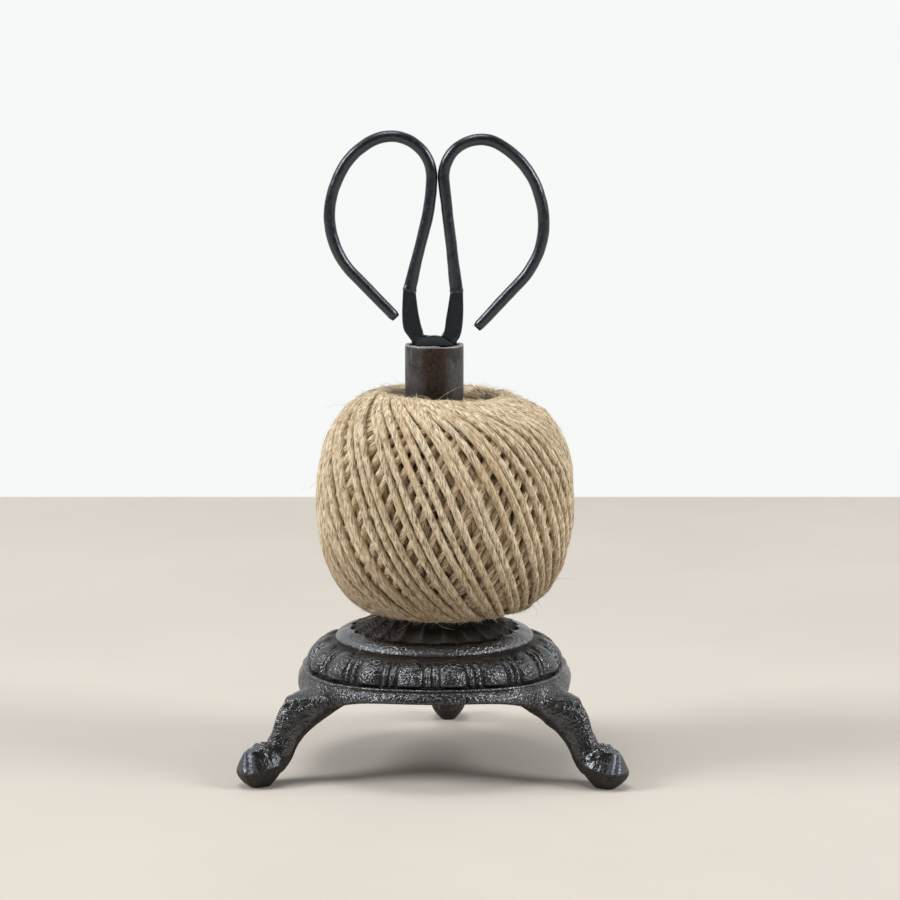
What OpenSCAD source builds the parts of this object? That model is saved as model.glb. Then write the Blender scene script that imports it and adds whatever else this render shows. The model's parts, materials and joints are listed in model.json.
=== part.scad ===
// String holder: a cast-iron tripod stand whose steel tube carries a ball of jute twine
// and holds a pair of forged bow-handled scissors. Millimetres, +Z up, feet on z = 0.

/* [Stand casting] */
// Reach of each toe from the tube axis
toe_reach = 78.5; // [74:0.5:88]
// Clear height under the apron, between the legs
leg_h = 33.8; // [30:0.5:42]
// Width of a leg at its knee
leg_w = 16; // [13:0.5:19]
// Radius of the apron, the widest band of the dome
apron_r = 51.2; // [50:0.5:56]
// Height of the apron band
apron_h = 3.7; // [2:0.25:5]
// How far the apron's upper edge stands in
apron_lip = 2.4; // [1.5:0.1:3]
// Radius of the thin fillet above the apron
fillet_r = 48.9; // [48:0.1:50]
// Height of the thin fillet
fillet_h = 1; // [0.6:0.1:2]
// Radius of the gadrooned moulding between its lobes
ovolo_r = 45.6; // [44:0.1:47]
// Height of the gadrooned moulding
ovolo_h = 8.8; // [7.8:0.1:12]
// Number of lobes round the moulding
lobe_count = 18; // [12:1:22]
// How far each lobe stands out of the moulding, at its foot
lobe_h = 2; // [1:0.1:2.4]
// How far the narrow ridges between the lobes stand out
ridge_h = 1.1; // [0.6:0.1:1.6]
// Outer radius of the smooth ring
ring_r = 36.5; // [35:0.1:39]
// Height of the smooth ring
ring_h = 4.7; // [3.7:0.1:6]
// Width of the smooth ring
ring_w = 6; // [4.5:0.1:7.5]
// Height of the fluted cone above the ring
cone_h = 5.7; // [4.7:0.1:8]
// Number of ribs on the fluted cone
rib_count = 22; // [12:1:28]
// Angle that one rib takes
rib_angle = 4.5; // [3:0.5:9]
// How far a rib stands above the flutes beside it
rib_h = 2; // [1:0.1:2.4]
// Radius of the hub's flat top, where the ball sits
hub_r = 19; // [16:0.5:24]
// Wall of the hollow dome
dome_wall = 4; // [3:0.25:5]
// Radius of the boss under the hub
boss_r = 15; // [13:0.5:18]

/* [Tube] */
// Outside diameter of the tube
tube_od = 21.3; // [19:0.1:24]
// Wall of the tube
tube_wall = 1.5; // [1:0.1:2.2]
// Height of the rim above the hub
tube_rise = 98.3; // [94:0.1:112]
// Depth of the tube's socket in the hub
socket_depth = 11.7; // [8:0.1:14]
// Iron left under the socket
socket_floor = 6; // [4:0.5:8]
// Height of the plug in the bottom of the tube
plug_h = 10; // [8:0.5:12]

/* [Fixing screw] */
// Thread diameter of the screw
screw_d = 6; // [4:0.5:8]
// Diameter of the screw's head
screw_head_d = 11; // [9:0.5:13]
// Height of the screw's head
screw_head_h = 3.6; // [2.5:0.1:5]
// Thickness of the washer under the head
screw_washer_t = 1.2; // [0.8:0.1:2]

/* [Ball of twine] */
// Diameter of the ball
ball_d = 95; // [80:1:100]
// Height of the ball
ball_h = 81.5; // [70:0.5:86]
// Radius of the hole through the ball
hole_r = 14.5; // [13:0.5:18]
// Radius of the circle where the ball is tallest
crown_r = 24; // [22:0.5:28]
// Diameter of one strand
strand_d = 3.5; // [2.5:0.1:4.5]
// Most loops in the outer winding
max_loops = 24; // [12:1:24]

/* [Scissors] */
// Depth of the pivot below the tube's rim
pivot_drop = 6; // [5.5:0.1:7]
// Length of the blades below the pivot
blade_l = 78; // [60:1:85]
// Thickness of one blade
blade_t = 1.5; // [1:0.1:2]
// Width of a blade below the pivot
blade_w = 7.6; // [6:0.2:9]
// Diameter of the rivet
rivet_d = 4; // [3:0.1:5]
// Diameter of the rivet's heads
rivet_head_d = 7.2; // [6:0.1:9]
// Height of a rivet head
rivet_head_h = 1.2; // [0.8:0.1:2]
// Diameter of the rivet's washers
rivet_washer_d = 8.6; // [8:0.1:11]
// Thickness of a rivet washer
rivet_washer_t = 0.6; // [0.4:0.1:1]
// Diameter of the bows' rod
rod_d = 3.9; // [3:0.1:4.1]
// Diameter of the rod at its free end
rod_tip_d = 3.2; // [2.4:0.1:3.6]
// Width of a shank where the rod is welded on
seam_w = 4.7; // [4.2:0.1:6]
// Height of the left weld above the pivot
left_seam_z = 25.6; // [24:0.1:30]
// Distance of the left weld from the tube axis
left_seam_x = 9; // [8.9:0.1:11]
// Lean of the left rod towards the axis, in degrees
left_lean = 14; // [10:0.5:14]
// Straight length of the left rod above its weld
left_straight = 25; // [20:0.5:26]
// Radius of the left bow's tightest bend
left_bow_r = 14.6; // [13:0.1:15.4]
// Straight tail at the left rod's free end
left_tail = 20; // [8:0.5:21]
// Height of the right weld above the pivot
right_seam_z = 25; // [24:0.1:30]
// Distance of the right weld from the tube axis
right_seam_x = 8.1; // [8:0.1:11]
// Lean of the right rod towards the axis, in degrees
right_lean = 6.7; // [4:0.1:7]
// Straight length of the right rod above its weld
right_straight = 40; // [30:0.5:41]
// Radius of the right bow's tightest bend
right_bow_r = 13.4; // [12:0.1:14.4]
// Straight tail at the right rod's free end
right_tail = 22.5; // [8:0.5:23]

/* [Fits] */
// Gap round the tube in its socket, and round the plug in the tube
seat_gap = 0.15; // [0.05:0.05:0.3]
// Gap between soft or moving pieces and what they rest on
rest_gap = 0.3; // [0.2:0.05:0.5]
// Gap of running fits: the rivet in its holes and the faces beside it
running_gap = 0.05; // [0.02:0.01:0.1]
// Least gap between neighbouring strands
strand_gap = 0.5; // [0.45:0.05:1]

/* [Hidden] */
$fn = 64;
// A length that reaches past whatever it cuts
past = 1;

// Colours
iron = [0.13, 0.11, 0.10];
steel = [0.30, 0.27, 0.25];
zinc = [0.62, 0.62, 0.60];
jute = [0.72, 0.60, 0.43];
jute_dark = [0.50, 0.39, 0.26];
blued = [0.14, 0.16, 0.19];

// The footprint is centred on the origin, and the tube stands off-centre because two of the
// three legs point forwards. The back one was cast a little off the middle.
leg_angles = [-29, 87, 209];
axis_y = -(toe_reach - apron_r) / 2;

// Heights of the stand, from the floor up
apron_z = leg_h;
fillet_z = apron_z + apron_h;
ovolo_z = fillet_z + fillet_h;
ring_z = ovolo_z + ovolo_h;
ring_top = ring_z + ring_h;
hub_z = ring_top + cone_h;
socket_z = hub_z - socket_depth;
boss_z = socket_z - socket_floor;
rim_z = hub_z + tube_rise;
ring_in = ring_r - ring_w;
// Where the ribs leave the hub
rib_start = [hub_r + rib_h / 2, hub_z - rib_h * 0.65];

// Half widths of a lobe and of a ridge, and the ridge's place, as shares of the lobes' pitch
lobe_half = 0.3;
ridge_half = 0.07;
ridge_at = 0.415;
// Share of the moulding's height in which a lobe narrows to its round upper end
lobe_tip = 0.4;

// Tube
tube_r = tube_od / 2;
bore_r = tube_r - tube_wall;
rim_edge = tube_wall / 5;

// Stations down a leg: outer edge (reach, height), inner edge (reach, height) and width. Reaches
// are shares of the way from the apron to the toe, heights of leg_h and widths of leg_w.
leg_stations = [
    [-0.28, 1.05, -0.46, 0.88, 1.88],
    [-0.02, 1.00, -0.26, 0.75, 1.50],
    [0.19, 0.95, -0.08, 0.64, 1.06],
    [0.34, 0.88, 0.06, 0.55, 0.80],
    [0.43, 0.76, 0.16, 0.46, 0.66],
    [0.51, 0.62, 0.23, 0.36, 0.59],
    [0.59, 0.49, 0.30, 0.27, 0.61],
    [0.71, 0.44, 0.40, 0.12, 0.75],
    [0.88, 0.41, 0.53, 0.01, 0.85],
    [0.98, 0.31, 0.70, -0.025, 0.78],
    [1.00, 0.19, 0.87, -0.005, 0.50]
];
leg_steps = 2;
// Section of a leg in shares of half its depth and half its width: a round front, a ridge down
// each side and a narrower back
leg_front_steps = 8;
leg_back = 0.42;
leg_section = concat(
    [for (k = [0:leg_front_steps])
        let (a = 180 * k / leg_front_steps - 90)
        [pow(abs(cos(a)), 0.85), signed_power(sin(a), 0.85)]],
    [[-1, leg_back], [-1, -leg_back]]
);

// Screw and plug
screw_r = screw_d / 2;
screw_top = socket_z + plug_h * 0.75;
screw_hole_r = screw_r + rest_gap;
tapped_r = screw_r + running_gap;
screw_seat_z = boss_z - screw_washer_t;
slot_w = screw_head_d / 8;
slot_depth = screw_head_h / 2;

// Ball: the line of the strands' centres, seen in section
strand_r = strand_d / 2;
wound_out = ball_d / 2 - strand_r;
wound_in = hole_r + strand_r;
wound_half = ball_h / 2 - strand_r;
ball_z = hub_z + rest_gap + ball_h / 2;
// The ball leans on the tube's left side
ball_shift = hole_r - tube_r - 2 * rest_gap;
outer_power = 0.96;
inner_power = 0.67;
// The core lies this far inside the strands' centres
core_inset = strand_r + rest_gap;
core_steps = 36;
// Loops that fit side by side through the hole, allowing for their slant there
hole_room = 0.97 * 2 * PI * wound_in;
loops = min(max_loops, floor(hole_room / (strand_d + strand_gap)));
// Turns round the ball that all the loops make: about 0.46 of a turn each, so that the strands
// slant, with no factor shared with the loops, so that none falls on another
slant_share = 0.46;
turns = max([for (k = [1:floor(loops * slant_share)]) if (gcd(k, loops) == 1) k]);
loop_rings = 24;
strand_sides = 6;

// Scissors, in their own plane, from the pivot
pivot_z = rim_z - pivot_drop;
lap_gap = 2 * running_gap;
shank_t = 2 * blade_t + lap_gap;
// Round part of each half that laps the other at the pivot
lap_r = pivot_drop * 1.5;
lap_w = bore_r * 0.907;
flank_x = tube_r * 1.085;
// Arcs of the bows after the straight stretch: radius, as a share of the tightest, and angle
left_arcs = [[4.66, 14], [1, 118], [1.85, 33.5], [2.81, 9.6], [2.05, 63]];
right_arcs = [[1, 125], [2.26, 39], [2.84, 13], [2.28, 52.5]];
bow_arc_steps = 9;
rod_sides = 12;

function gcd(a, b) = b == 0 ? a : gcd(b, a % b);
function signed_power(v, e) = sign(v) * pow(abs(v), e);
function unit(v) = v / norm(v);

// Points strung from one ring of points to the next, closed at both ends, as triangles
function tube_faces(rings, sides) = concat(
    [for (i = [0:rings - 2], j = [0:sides - 1], half = [0, 1])
        let (a = i * sides + j, b = i * sides + (j + 1) % sides)
        half == 0 ? [a, b, a + sides] : [b, b + sides, a + sides]],
    [for (j = [1:sides - 2]) [0, j + 1, j]],
    [for (j = [1:sides - 2]) let (a = (rings - 1) * sides) [a, a + j, a + j + 1]]
);

// Points strung from one ring of points to the next and from the last back to the first
function hoop_faces(rings, sides) = [
    for (i = [0:rings - 1], j = [0:sides - 1], half = [0, 1])
        let (
            a = i * sides + j,
            b = i * sides + (j + 1) % sides,
            c = (i + 1) % rings * sides + j,
            d = (i + 1) % rings * sides + (j + 1) % sides
        )
        half == 0 ? [a, b, c] : [b, d, c]
];

// A smooth curve through four neighbouring values, between the middle two
function spline(p, t) = let (
    a = 2 * p[1],
    b = p[2] - p[0],
    c = 2 * p[0] - 5 * p[1] + 4 * p[2] - p[3],
    d = p[3] - p[0] + 3 * (p[1] - p[2])
) (a + b * t + c * t * t + d * t * t * t) / 2;
function station(list, i) = list[max(0, min(len(list) - 1, i))];
function smooth_stations(list, steps) = [
    for (i = [0:len(list) - 2], s = [0:steps - (i == len(list) - 2 ? 0 : 1)])
        spline([for (k = [-1:2]) station(list, i + k)], s / steps)
];

module at_axis() {
    translate([0, axis_y, 0]) children();
}

module ring_solid(r_out, r_in, h) {
    difference() {
        cylinder(r = r_out, h = h);
        translate([0, 0, -past]) cylinder(r = r_in, h = h + 2 * past);
    }
}

module dome_body() {
    rotate_extrude() polygon([
        [0, boss_z],
        [boss_r, boss_z],
        [boss_r, ring_top - dome_wall * 0.75],
        [ring_r - dome_wall, ring_z - dome_wall / 2],
        [ovolo_r - dome_wall, ovolo_z],
        [apron_r - dome_wall, apron_z],
        [apron_r, apron_z],
        [apron_r - apron_lip * 0.45, apron_z + apron_h * 0.45],
        [apron_r - apron_lip * 0.85, apron_z + apron_h * 0.85],
        [fillet_r - fillet_h * 0.8, fillet_z],
        [fillet_r, fillet_z + fillet_h / 2],
        [fillet_r - fillet_h * 0.4, ovolo_z],
        [ovolo_r - dome_wall / 4, ovolo_z],
        [ring_r, ring_z - dome_wall / 2],
        [ring_r, ring_z + ring_h * 0.2],
        [ring_r - ring_w * 0.08, ring_z + ring_h * 0.33],
        [ring_r - ring_w * 0.42, ring_z + ring_h * 0.6],
        [ring_in, ring_top],
        [ring_in, ring_top - rib_h],
        [hub_r + rib_h * 1.25, rib_line(hub_r + rib_h * 1.25) - rib_h],
        [hub_r + rib_h / 4, hub_z - rib_h / 2],
        [hub_r - rib_h / 4, hub_z - rib_h / 8],
        [hub_r - rib_h * 0.7, hub_z],
        [0, hub_z]
    ]);
}

// Height of the ribs' tops at a distance from the axis
function rib_line(r) = rib_start[1]
    + (r - rib_start[0]) * (ring_top - rib_start[1]) / (ring_in - rib_start[0]);

module cone_rib() {
    inner = hub_r - rib_h / 2;
    shoulder = ring_in - rib_h / 10;
    outer = ring_in + rib_h / 2;
    rotate([0, 0, -rib_angle / 2])
        rotate_extrude(angle = rib_angle)
            polygon([
                [inner, hub_z - rib_h * 2],
                [outer, ring_top - rib_h * 1.3],
                [outer, ring_top - rib_h],
                [shoulder, rib_line(shoulder)],
                rib_start,
                [inner, hub_z - rib_h / 2]
            ]);
}

// A rounded rise across a given half width
function swell(x, half) = pow(max(0, 1 - pow(x / half, 2)), 0.62);

// How far the moulding's carving stands out at a share of the pitch, and at a share of the way
// down from the ring: a broad lobe that rises from a round upper end, and a narrow ridge at
// either side
function carving(share, down) = let (
    near_top = max(0, lobe_tip - down) / lobe_tip,
    narrowed = lobe_half * sqrt(max(0.001, 1 - near_top * near_top)),
    lobe = min(1, down * 8) * (1 + 2 * down) / 3 * swell(share, narrowed),
    ridge = min(1, down / lobe_tip) * swell(abs(share) - ridge_at, ridge_half)
) max(lobe_h * lobe, ridge_h * ridge);

// Section of the carved moulding at a share of the pitch, from its foot up to the ring and back
// inside the dome's wall
function moulding_section(share) = let (
    foot_r = ring_r - dome_wall / 12,
    sunk_z = ovolo_z - fillet_h / 2
) concat(
    [[ovolo_r + carving(share, 1) / 2, sunk_z]],
    [for (a = [8, 28, 48, 64, 78, 90])
        let (out = carving(share, 1 - sin(a)))
        [foot_r + (ovolo_r - foot_r + out) * cos(a), ovolo_z + (ovolo_h + out) * sin(a)]],
    [[ring_r - dome_wall / 2, ring_z - dome_wall / 4], [ovolo_r - dome_wall / 2, sunk_z]]
);

// The carved moulding: its sections strung right round the dome
module moulding() {
    shares = concat(
        [for (k = [-1:1]) -ridge_at + k * ridge_half],
        [for (a = [-90:30:90]) lobe_half * sin(a)],
        [for (k = [-1:1]) ridge_at + k * ridge_half]
    );
    sections = [for (s = shares) moulding_section(s)];
    sides = len(sections[0]);
    points = [
        for (i = [0:lobe_count - 1], k = [0:len(shares) - 1], p = sections[k])
            let (turn = 360 * (i + shares[k]) / lobe_count)
            [p.x * cos(turn), p.x * sin(turn), p.y]
    ];
    polyhedron(points, hoop_faces(lobe_count * len(shares), sides));
}

// One leg along +X: sections strung down the stations
module leg() {
    span = toe_reach - apron_r;
    rows = smooth_stations(leg_stations, leg_steps);
    points = [
        for (s = rows, p = leg_section)
            let (
                outer = [apron_r + s[0] * span, 0, s[1] * leg_h],
                inner = [apron_r + s[2] * span, 0, s[3] * leg_h]
            )
            (outer + inner) / 2 + (outer - inner) / 2 * p.x + [0, s[4] * leg_w / 2 * p.y, 0]
    ];
    polyhedron(points, tube_faces(len(rows), len(leg_section)));
}

module base_casting() {
    color(iron) at_axis() difference() {
        union() {
            dome_body();
            for (i = [0:rib_count - 1]) rotate([0, 0, i * 360 / rib_count]) cone_rib();
            for (a = leg_angles) rotate([0, 0, a]) leg();
            moulding();
        }
        translate([0, 0, socket_z]) cylinder(r = tube_r + seat_gap, h = socket_depth + past);
        translate([0, 0, boss_z - past]) cylinder(r = screw_hole_r, h = socket_floor + 2 * past);
        translate([-2 * toe_reach, -2 * toe_reach, -leg_h]) cube([4 * toe_reach, 4 * toe_reach, leg_h]);
    }
}

module spindle_tube() {
    color(steel) at_axis() rotate_extrude() polygon([
        [bore_r, socket_z],
        [tube_r, socket_z],
        [tube_r, rim_z - rim_edge],
        [tube_r - rim_edge, rim_z],
        [bore_r + rim_edge, rim_z],
        [bore_r, rim_z - rim_edge]
    ]);
}

module tube_plug() {
    color(steel) at_axis() translate([0, 0, socket_z])
        ring_solid(bore_r - seat_gap, tapped_r, plug_h);
}

module fixing_screw() {
    color(zinc) at_axis() difference() {
        union() {
            translate([0, 0, screw_seat_z - screw_head_h]) cylinder(r = screw_head_d / 2, h = screw_head_h);
            translate([0, 0, screw_seat_z]) cylinder(r = screw_r, h = screw_top - screw_seat_z);
        }
        translate([-screw_head_d, -slot_w / 2, screw_seat_z - screw_head_h - slot_depth])
            cube([2 * screw_head_d, slot_w, 2 * slot_depth]);
    }
}

module screw_washer() {
    color(zinc) at_axis() translate([0, 0, screw_seat_z])
        ring_solid(screw_head_d / 2 + screw_washer_t, screw_hole_r, screw_washer_t);
}

// The ball's section at angle u, which runs from the outer equator down, up the hole and back,
// drawn in from the strands' centres by inset: distance from the ball's axis, and height
function ball_section(u, inset) = let (
    outside = cos(u) >= 0,
    reach = outside ? wound_out - inset - crown_r : crown_r - wound_in - inset,
    e = outside ? outer_power : inner_power
) [
    crown_r + reach * signed_power(cos(u), e),
    -(wound_half - inset) * signed_power(sin(u), e)
];

// A point on the strand's centre line after t loops
function strand_point(t) = let (
    s = ball_section(360 * t, 0),
    around = 360 * turns / loops * t
) [s[0] * cos(around), s[0] * sin(around), s[1]];

// The middle of the ball's ring at the same place, which the strand winds round
function ring_middle(t) = let (around = 360 * turns / loops * t)
    [crown_r * cos(around), crown_r * sin(around), 0];

module at_ball() {
    at_axis() translate([ball_shift, 0, ball_z]) children();
}

module twine_core() {
    color(jute_dark) at_ball() rotate_extrude() polygon([
        for (i = [0:core_steps - 1]) ball_section(360 * (i + 0.5) / core_steps, core_inset)
    ]);
}

module twine_winding() {
    rings = loops * loop_rings - 1;
    small = 0.01 / loop_rings;
    points = [
        for (i = [0:rings - 1])
            let (
                t = 0.5 + i / loop_rings,
                p = strand_point(t),
                along = unit(strand_point(t + small) - strand_point(t - small)),
                outward = p - ring_middle(t),
                up = unit(outward - along * (outward * along)),
                side = cross(along, up)
            )
            for (j = [0:strand_sides - 1])
                p + strand_r * (up * cos(360 * j / strand_sides) + side * sin(360 * j / strand_sides))
    ];
    // Every loop is the first one turned about the ball's axis, so the first against the rest will do
    fine = 48;
    own = [for (k = [0:fine - 1]) strand_point(k / fine)];
    others = [for (n = [1:loops - 1], k = [0:fine - 1]) strand_point(n + k / fine)];
    least = min([for (p = own) min([for (q = others) norm(p - q)])]) - strand_d;
    echo(loops = loops, turns = turns, least_gap_to_itself = least);
    color(jute) at_ball() polyhedron(points, tube_faces(rings, strand_sides));
}

module at_pivot() {
    at_axis() translate([0, 0, pivot_z]) children();
}

// An outline in the scissors' plane, given thickness from y0 towards the back
module plate(y0, t) {
    translate([0, y0 + t, 0]) rotate([90, 0, 0]) linear_extrude(t) children();
}

module across_pivot(y0, r, t) {
    plate(y0, t) circle(r);
}

module scissors_rivet() {
    stack = shank_t / 2 + rivet_washer_t + running_gap;
    color(blued) at_pivot() {
        across_pivot(-stack, rivet_d / 2, 2 * stack);
        across_pivot(-stack - rivet_head_h, rivet_head_d / 2, rivet_head_h);
        across_pivot(stack, rivet_head_d / 2, rivet_head_h);
    }
}

module scissors_washers() {
    color(steel) at_pivot() {
        for (y0 = [-shank_t / 2 - running_gap - rivet_washer_t, shank_t / 2 + running_gap])
            difference() {
                across_pivot(y0, rivet_washer_d / 2, rivet_washer_t);
                across_pivot(y0 - past, rivet_d / 2 + running_gap, rivet_washer_t + 2 * past);
            }
    }
}

// One half of the scissors with its weld on the -X side; its blade and lap lie in the front layer
// where front is true, and otherwise in the back one
module blade_half(seam_x, seam_z, lean, front) {
    across = seam_w / 2 * [cos(lean), -sin(lean)];
    seam = [-seam_x, seam_z];
    rim = pivot_drop;
    lap_y = front ? -shank_t / 2 : lap_gap / 2;
    other_y = front ? lap_gap / 2 : -shank_t / 2;
    difference() {
        union() {
            plate(-shank_t / 2, shank_t) polygon([
                seam - across,
                [-flank_x, rim + lap_r * 1.22],
                [-flank_x + lap_r * 0.055, rim + lap_r * 0.56],
                [-bore_r - lap_r * 0.01, rim + lap_r * 0.19],
                [-bore_r + lap_r * 0.12, rim + lap_r * 0.055],
                [-lap_r / 2, rim / 2],
                [-lap_r / 4, lap_r * 0.93],
                [-lap_r * 0.47, lap_r * 1.22],
                [-lap_r * 0.59, lap_r * 1.67],
                [-lap_r * 0.67, lap_r * 2.11],
                seam + across
            ]);
            plate(lap_y, blade_t) {
                intersection() {
                    circle(lap_r);
                    square([2 * lap_w, 4 * lap_r], center = true);
                }
                polygon([
                    [-blade_w / 3, 0],
                    [blade_w * 0.8, 0],
                    [blade_w * 0.62, -blade_l * 0.3],
                    [blade_w * 0.45, -blade_l * 0.7],
                    [blade_w * 0.15, -blade_l],
                    [-blade_w * 0.03, -blade_l],
                    [-blade_w * 0.2, -blade_l * 0.75]
                ]);
            }
        }
        plate(other_y - (front ? lap_gap : past), blade_t + lap_gap + past) {
            circle(lap_r + rest_gap);
        }
        across_pivot(-shank_t, rivet_d / 2 + running_gap, 2 * shank_t);
    }
}

module scissors_left_blade() {
    color(blued) at_pivot() blade_half(left_seam_x, left_seam_z, left_lean, true);
}

module scissors_right_blade() {
    color(blued) at_pivot()
        mirror([1, 0, 0]) blade_half(right_seam_x, right_seam_z, right_lean, false);
}

// Places along a bent rod, each as x, z and heading in degrees from +Z towards -X
function along_arc(from, r, sweep) = [
    for (k = [1:bow_arc_steps])
        let (a = from[2] + sweep * k / bow_arc_steps)
        [from[0] + r * (cos(a) - cos(from[2])), from[1] + r * (sin(a) - sin(from[2])), a]
];
function straight_on(from, l) = [from[0] - l * sin(from[2]), from[1] + l * cos(from[2]), from[2]];
function along_arcs(from, r, arcs, i = 0) = i == len(arcs) ? [] : let (
    arc = along_arc(from, r * arcs[i][0], arcs[i][1])
) concat(arc, along_arcs(arc[bow_arc_steps - 1], r, arcs, i + 1));

// A rod from its weld, straight up, round the arcs and along a straight tail, thinner towards the end
module bow(seam_x, seam_z, lean, straight, bend_r, arcs, tail) {
    weld = [-seam_x, seam_z, -lean];
    bend = straight_on(weld, straight);
    bent = along_arcs(bend, bend_r, arcs);
    frames = concat([weld, bend], bent, [straight_on(bent[len(bent) - 1], tail)]);
    last = len(frames) - 1;
    points = [
        for (i = [0:last], j = [0:rod_sides - 1])
            let (
                f = frames[i],
                r = (rod_d - (rod_d - rod_tip_d) * pow(i / last, 2)) / 2,
                a = 360 * j / rod_sides
            )
            [f[0] + r * cos(a) * cos(f[2]), r * sin(a), f[1] + r * cos(a) * sin(f[2])]
    ];
    polyhedron(points, tube_faces(len(frames), rod_sides));
}

module scissors_left_bow() {
    color(blued) at_pivot()
        bow(left_seam_x, left_seam_z, left_lean, left_straight, left_bow_r, left_arcs, left_tail);
}

module scissors_right_bow() {
    color(blued) at_pivot() mirror([1, 0, 0])
        bow(right_seam_x, right_seam_z, right_lean, right_straight, right_bow_r, right_arcs, right_tail);
}

base_casting();
spindle_tube();
tube_plug();
fixing_screw();
screw_washer();
twine_core();
twine_winding();
scissors_rivet();
scissors_washers();
scissors_left_blade();
scissors_left_bow();
scissors_right_blade();
scissors_right_bow();
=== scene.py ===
"""String holder: a cast-iron tripod with a tube, a ball of jute twine and a pair of forged scissors."""
import json
import math

import bmesh
import bpy
import numpy as np
from mathutils import Matrix, Vector


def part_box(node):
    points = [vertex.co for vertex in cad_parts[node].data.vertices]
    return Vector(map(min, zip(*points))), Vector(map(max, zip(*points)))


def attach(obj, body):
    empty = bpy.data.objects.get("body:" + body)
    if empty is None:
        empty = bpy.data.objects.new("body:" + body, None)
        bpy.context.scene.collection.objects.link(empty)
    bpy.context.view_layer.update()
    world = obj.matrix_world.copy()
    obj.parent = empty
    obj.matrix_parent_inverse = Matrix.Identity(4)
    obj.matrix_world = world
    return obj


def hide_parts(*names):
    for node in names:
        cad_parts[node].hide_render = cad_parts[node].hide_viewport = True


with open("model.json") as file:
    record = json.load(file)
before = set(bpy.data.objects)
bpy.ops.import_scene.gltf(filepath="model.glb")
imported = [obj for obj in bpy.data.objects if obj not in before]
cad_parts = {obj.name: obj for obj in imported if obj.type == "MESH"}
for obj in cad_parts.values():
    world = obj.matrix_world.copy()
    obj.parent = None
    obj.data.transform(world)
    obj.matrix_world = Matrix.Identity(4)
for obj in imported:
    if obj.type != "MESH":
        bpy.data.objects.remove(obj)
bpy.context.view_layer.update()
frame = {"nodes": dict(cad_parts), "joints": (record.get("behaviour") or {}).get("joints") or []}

# Sizes are millimetres unless they say otherwise; meshes are made in metres. In most pairs, such as ARCH_Z,
# something starts at the first value and is whole at the second
MM = 0.001
TAU = 2 * math.pi


def corners(node):
    """A node's lowest and highest corners, in millimetres."""
    low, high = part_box(node)
    return np.array(low) / MM, np.array(high) / MM


def joint_place(name):
    """Where a joint sits, in millimetres."""
    joint = next(j for j in frame["joints"] if j["name"] == name)
    return np.array(joint["pos_m"]) / MM


# What the frame fixes
tube_low, tube_high = corners("spindle_tube")
ball_low, ball_high = corners("twine_winding")
AXIS = (tube_low + tube_high) / 2 * [1, 1, 0]
TUBE_R = (tube_high[0] - tube_low[0]) / 2
SOCKET_Z = tube_low[2]
RIM_Z = tube_high[2]
HUB_Z = corners("base_casting")[1][2]
BALL = (ball_low + ball_high) / 2
BALL_R = (ball_high[0] - ball_low[0]) / 2
BALL_HALF = (ball_high[2] - ball_low[2]) / 2
PIVOT = joint_place("left_open")


# Camera
CAMERA_AZIMUTH = math.radians(1.05)
CAMERA_BACK = 1000
CAMERA_HEIGHT = 258
TARGET_HEIGHT = 117
TARGET_SHIFT = 5.7
FOCAL_PIXELS = 2767
IMAGE_PIXELS = 900
# In metres
CLIP = (0.05, 50)


def add_object(name, data):
    obj = bpy.data.objects.new(name, data)
    bpy.context.scene.collection.objects.link(obj)
    return obj


def make_camera():
    forward = np.array([-math.sin(CAMERA_AZIMUTH), math.cos(CAMERA_AZIMUTH), 0])
    right = np.array([math.cos(CAMERA_AZIMUTH), math.sin(CAMERA_AZIMUTH), 0])
    middle = AXIS + right * TARGET_SHIFT
    place = middle - forward * CAMERA_BACK + [0, 0, CAMERA_HEIGHT]
    target = middle + [0, 0, TARGET_HEIGHT]
    data = bpy.data.cameras.new("camera")
    data.lens = FOCAL_PIXELS / IMAGE_PIXELS * data.sensor_width
    data.clip_start, data.clip_end = CLIP
    camera = add_object("camera", data)
    camera.location = place * MM
    camera.rotation_euler = Vector(target - place).to_track_quat("-Z", "Y").to_euler()
    bpy.context.scene.camera = camera


# Meshes
LUMP_WAVES = 7
LUMP_RATES = (0.4, 0.9)
CORNER_CUT = 0.25


def unit(v):
    return v / np.linalg.norm(v, axis=-1, keepdims=True)


def smoothstep(low, high, x):
    t = np.clip((x - low) / (high - low), 0, 1)
    return t * t * (3 - 2 * t)


def within(x, low, high):
    return (x > low) & (x < high)


def circle_angles(count):
    return np.arange(count) / count * TAU


def polar(r, turn, z):
    """Points from reach, angle and height."""
    return np.stack(np.broadcast_arrays(r * np.cos(turn), r * np.sin(turn), z), -1)


def runs(points):
    """The length of a line of points up to each of them."""
    return np.concatenate([[0], np.cumsum(np.linalg.norm(np.diff(points, axis=0), axis=1))])


def lumps(p, size, seed, rise):
    """Smooth random heights over points, of about minus to plus the rise, with lumps of the given size."""
    draw = np.random.default_rng(seed)
    total = np.zeros(p.shape[:-1])
    for _ in range(LUMP_WAVES):
        direction = unit(draw.normal(size=3))
        total += np.sin(p @ direction * TAU / size * draw.uniform(*LUMP_RATES) + draw.uniform(0, TAU))
    return total / math.sqrt(LUMP_WAVES) * rise


def grid_faces(rows, columns, close_rows=False):
    """Quads over a grid of points whose columns go round."""
    last = rows if close_rows else rows - 1
    i, j = np.meshgrid(np.arange(last), np.arange(columns), indexing="ij")
    here = i * columns
    there = (i + 1) % rows * columns
    ahead = (j + 1) % columns
    return np.stack([here + j, here + ahead, there + ahead, there + j], -1).reshape(-1, 4).tolist()


def tube_faces(rows, columns):
    """Quads round a tube of rings of points, closed at both ends."""
    start = list(range(columns))[::-1]
    end = [(rows - 1) * columns + j for j in range(columns)]
    return grid_faces(rows, columns) + [start, end]


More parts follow.
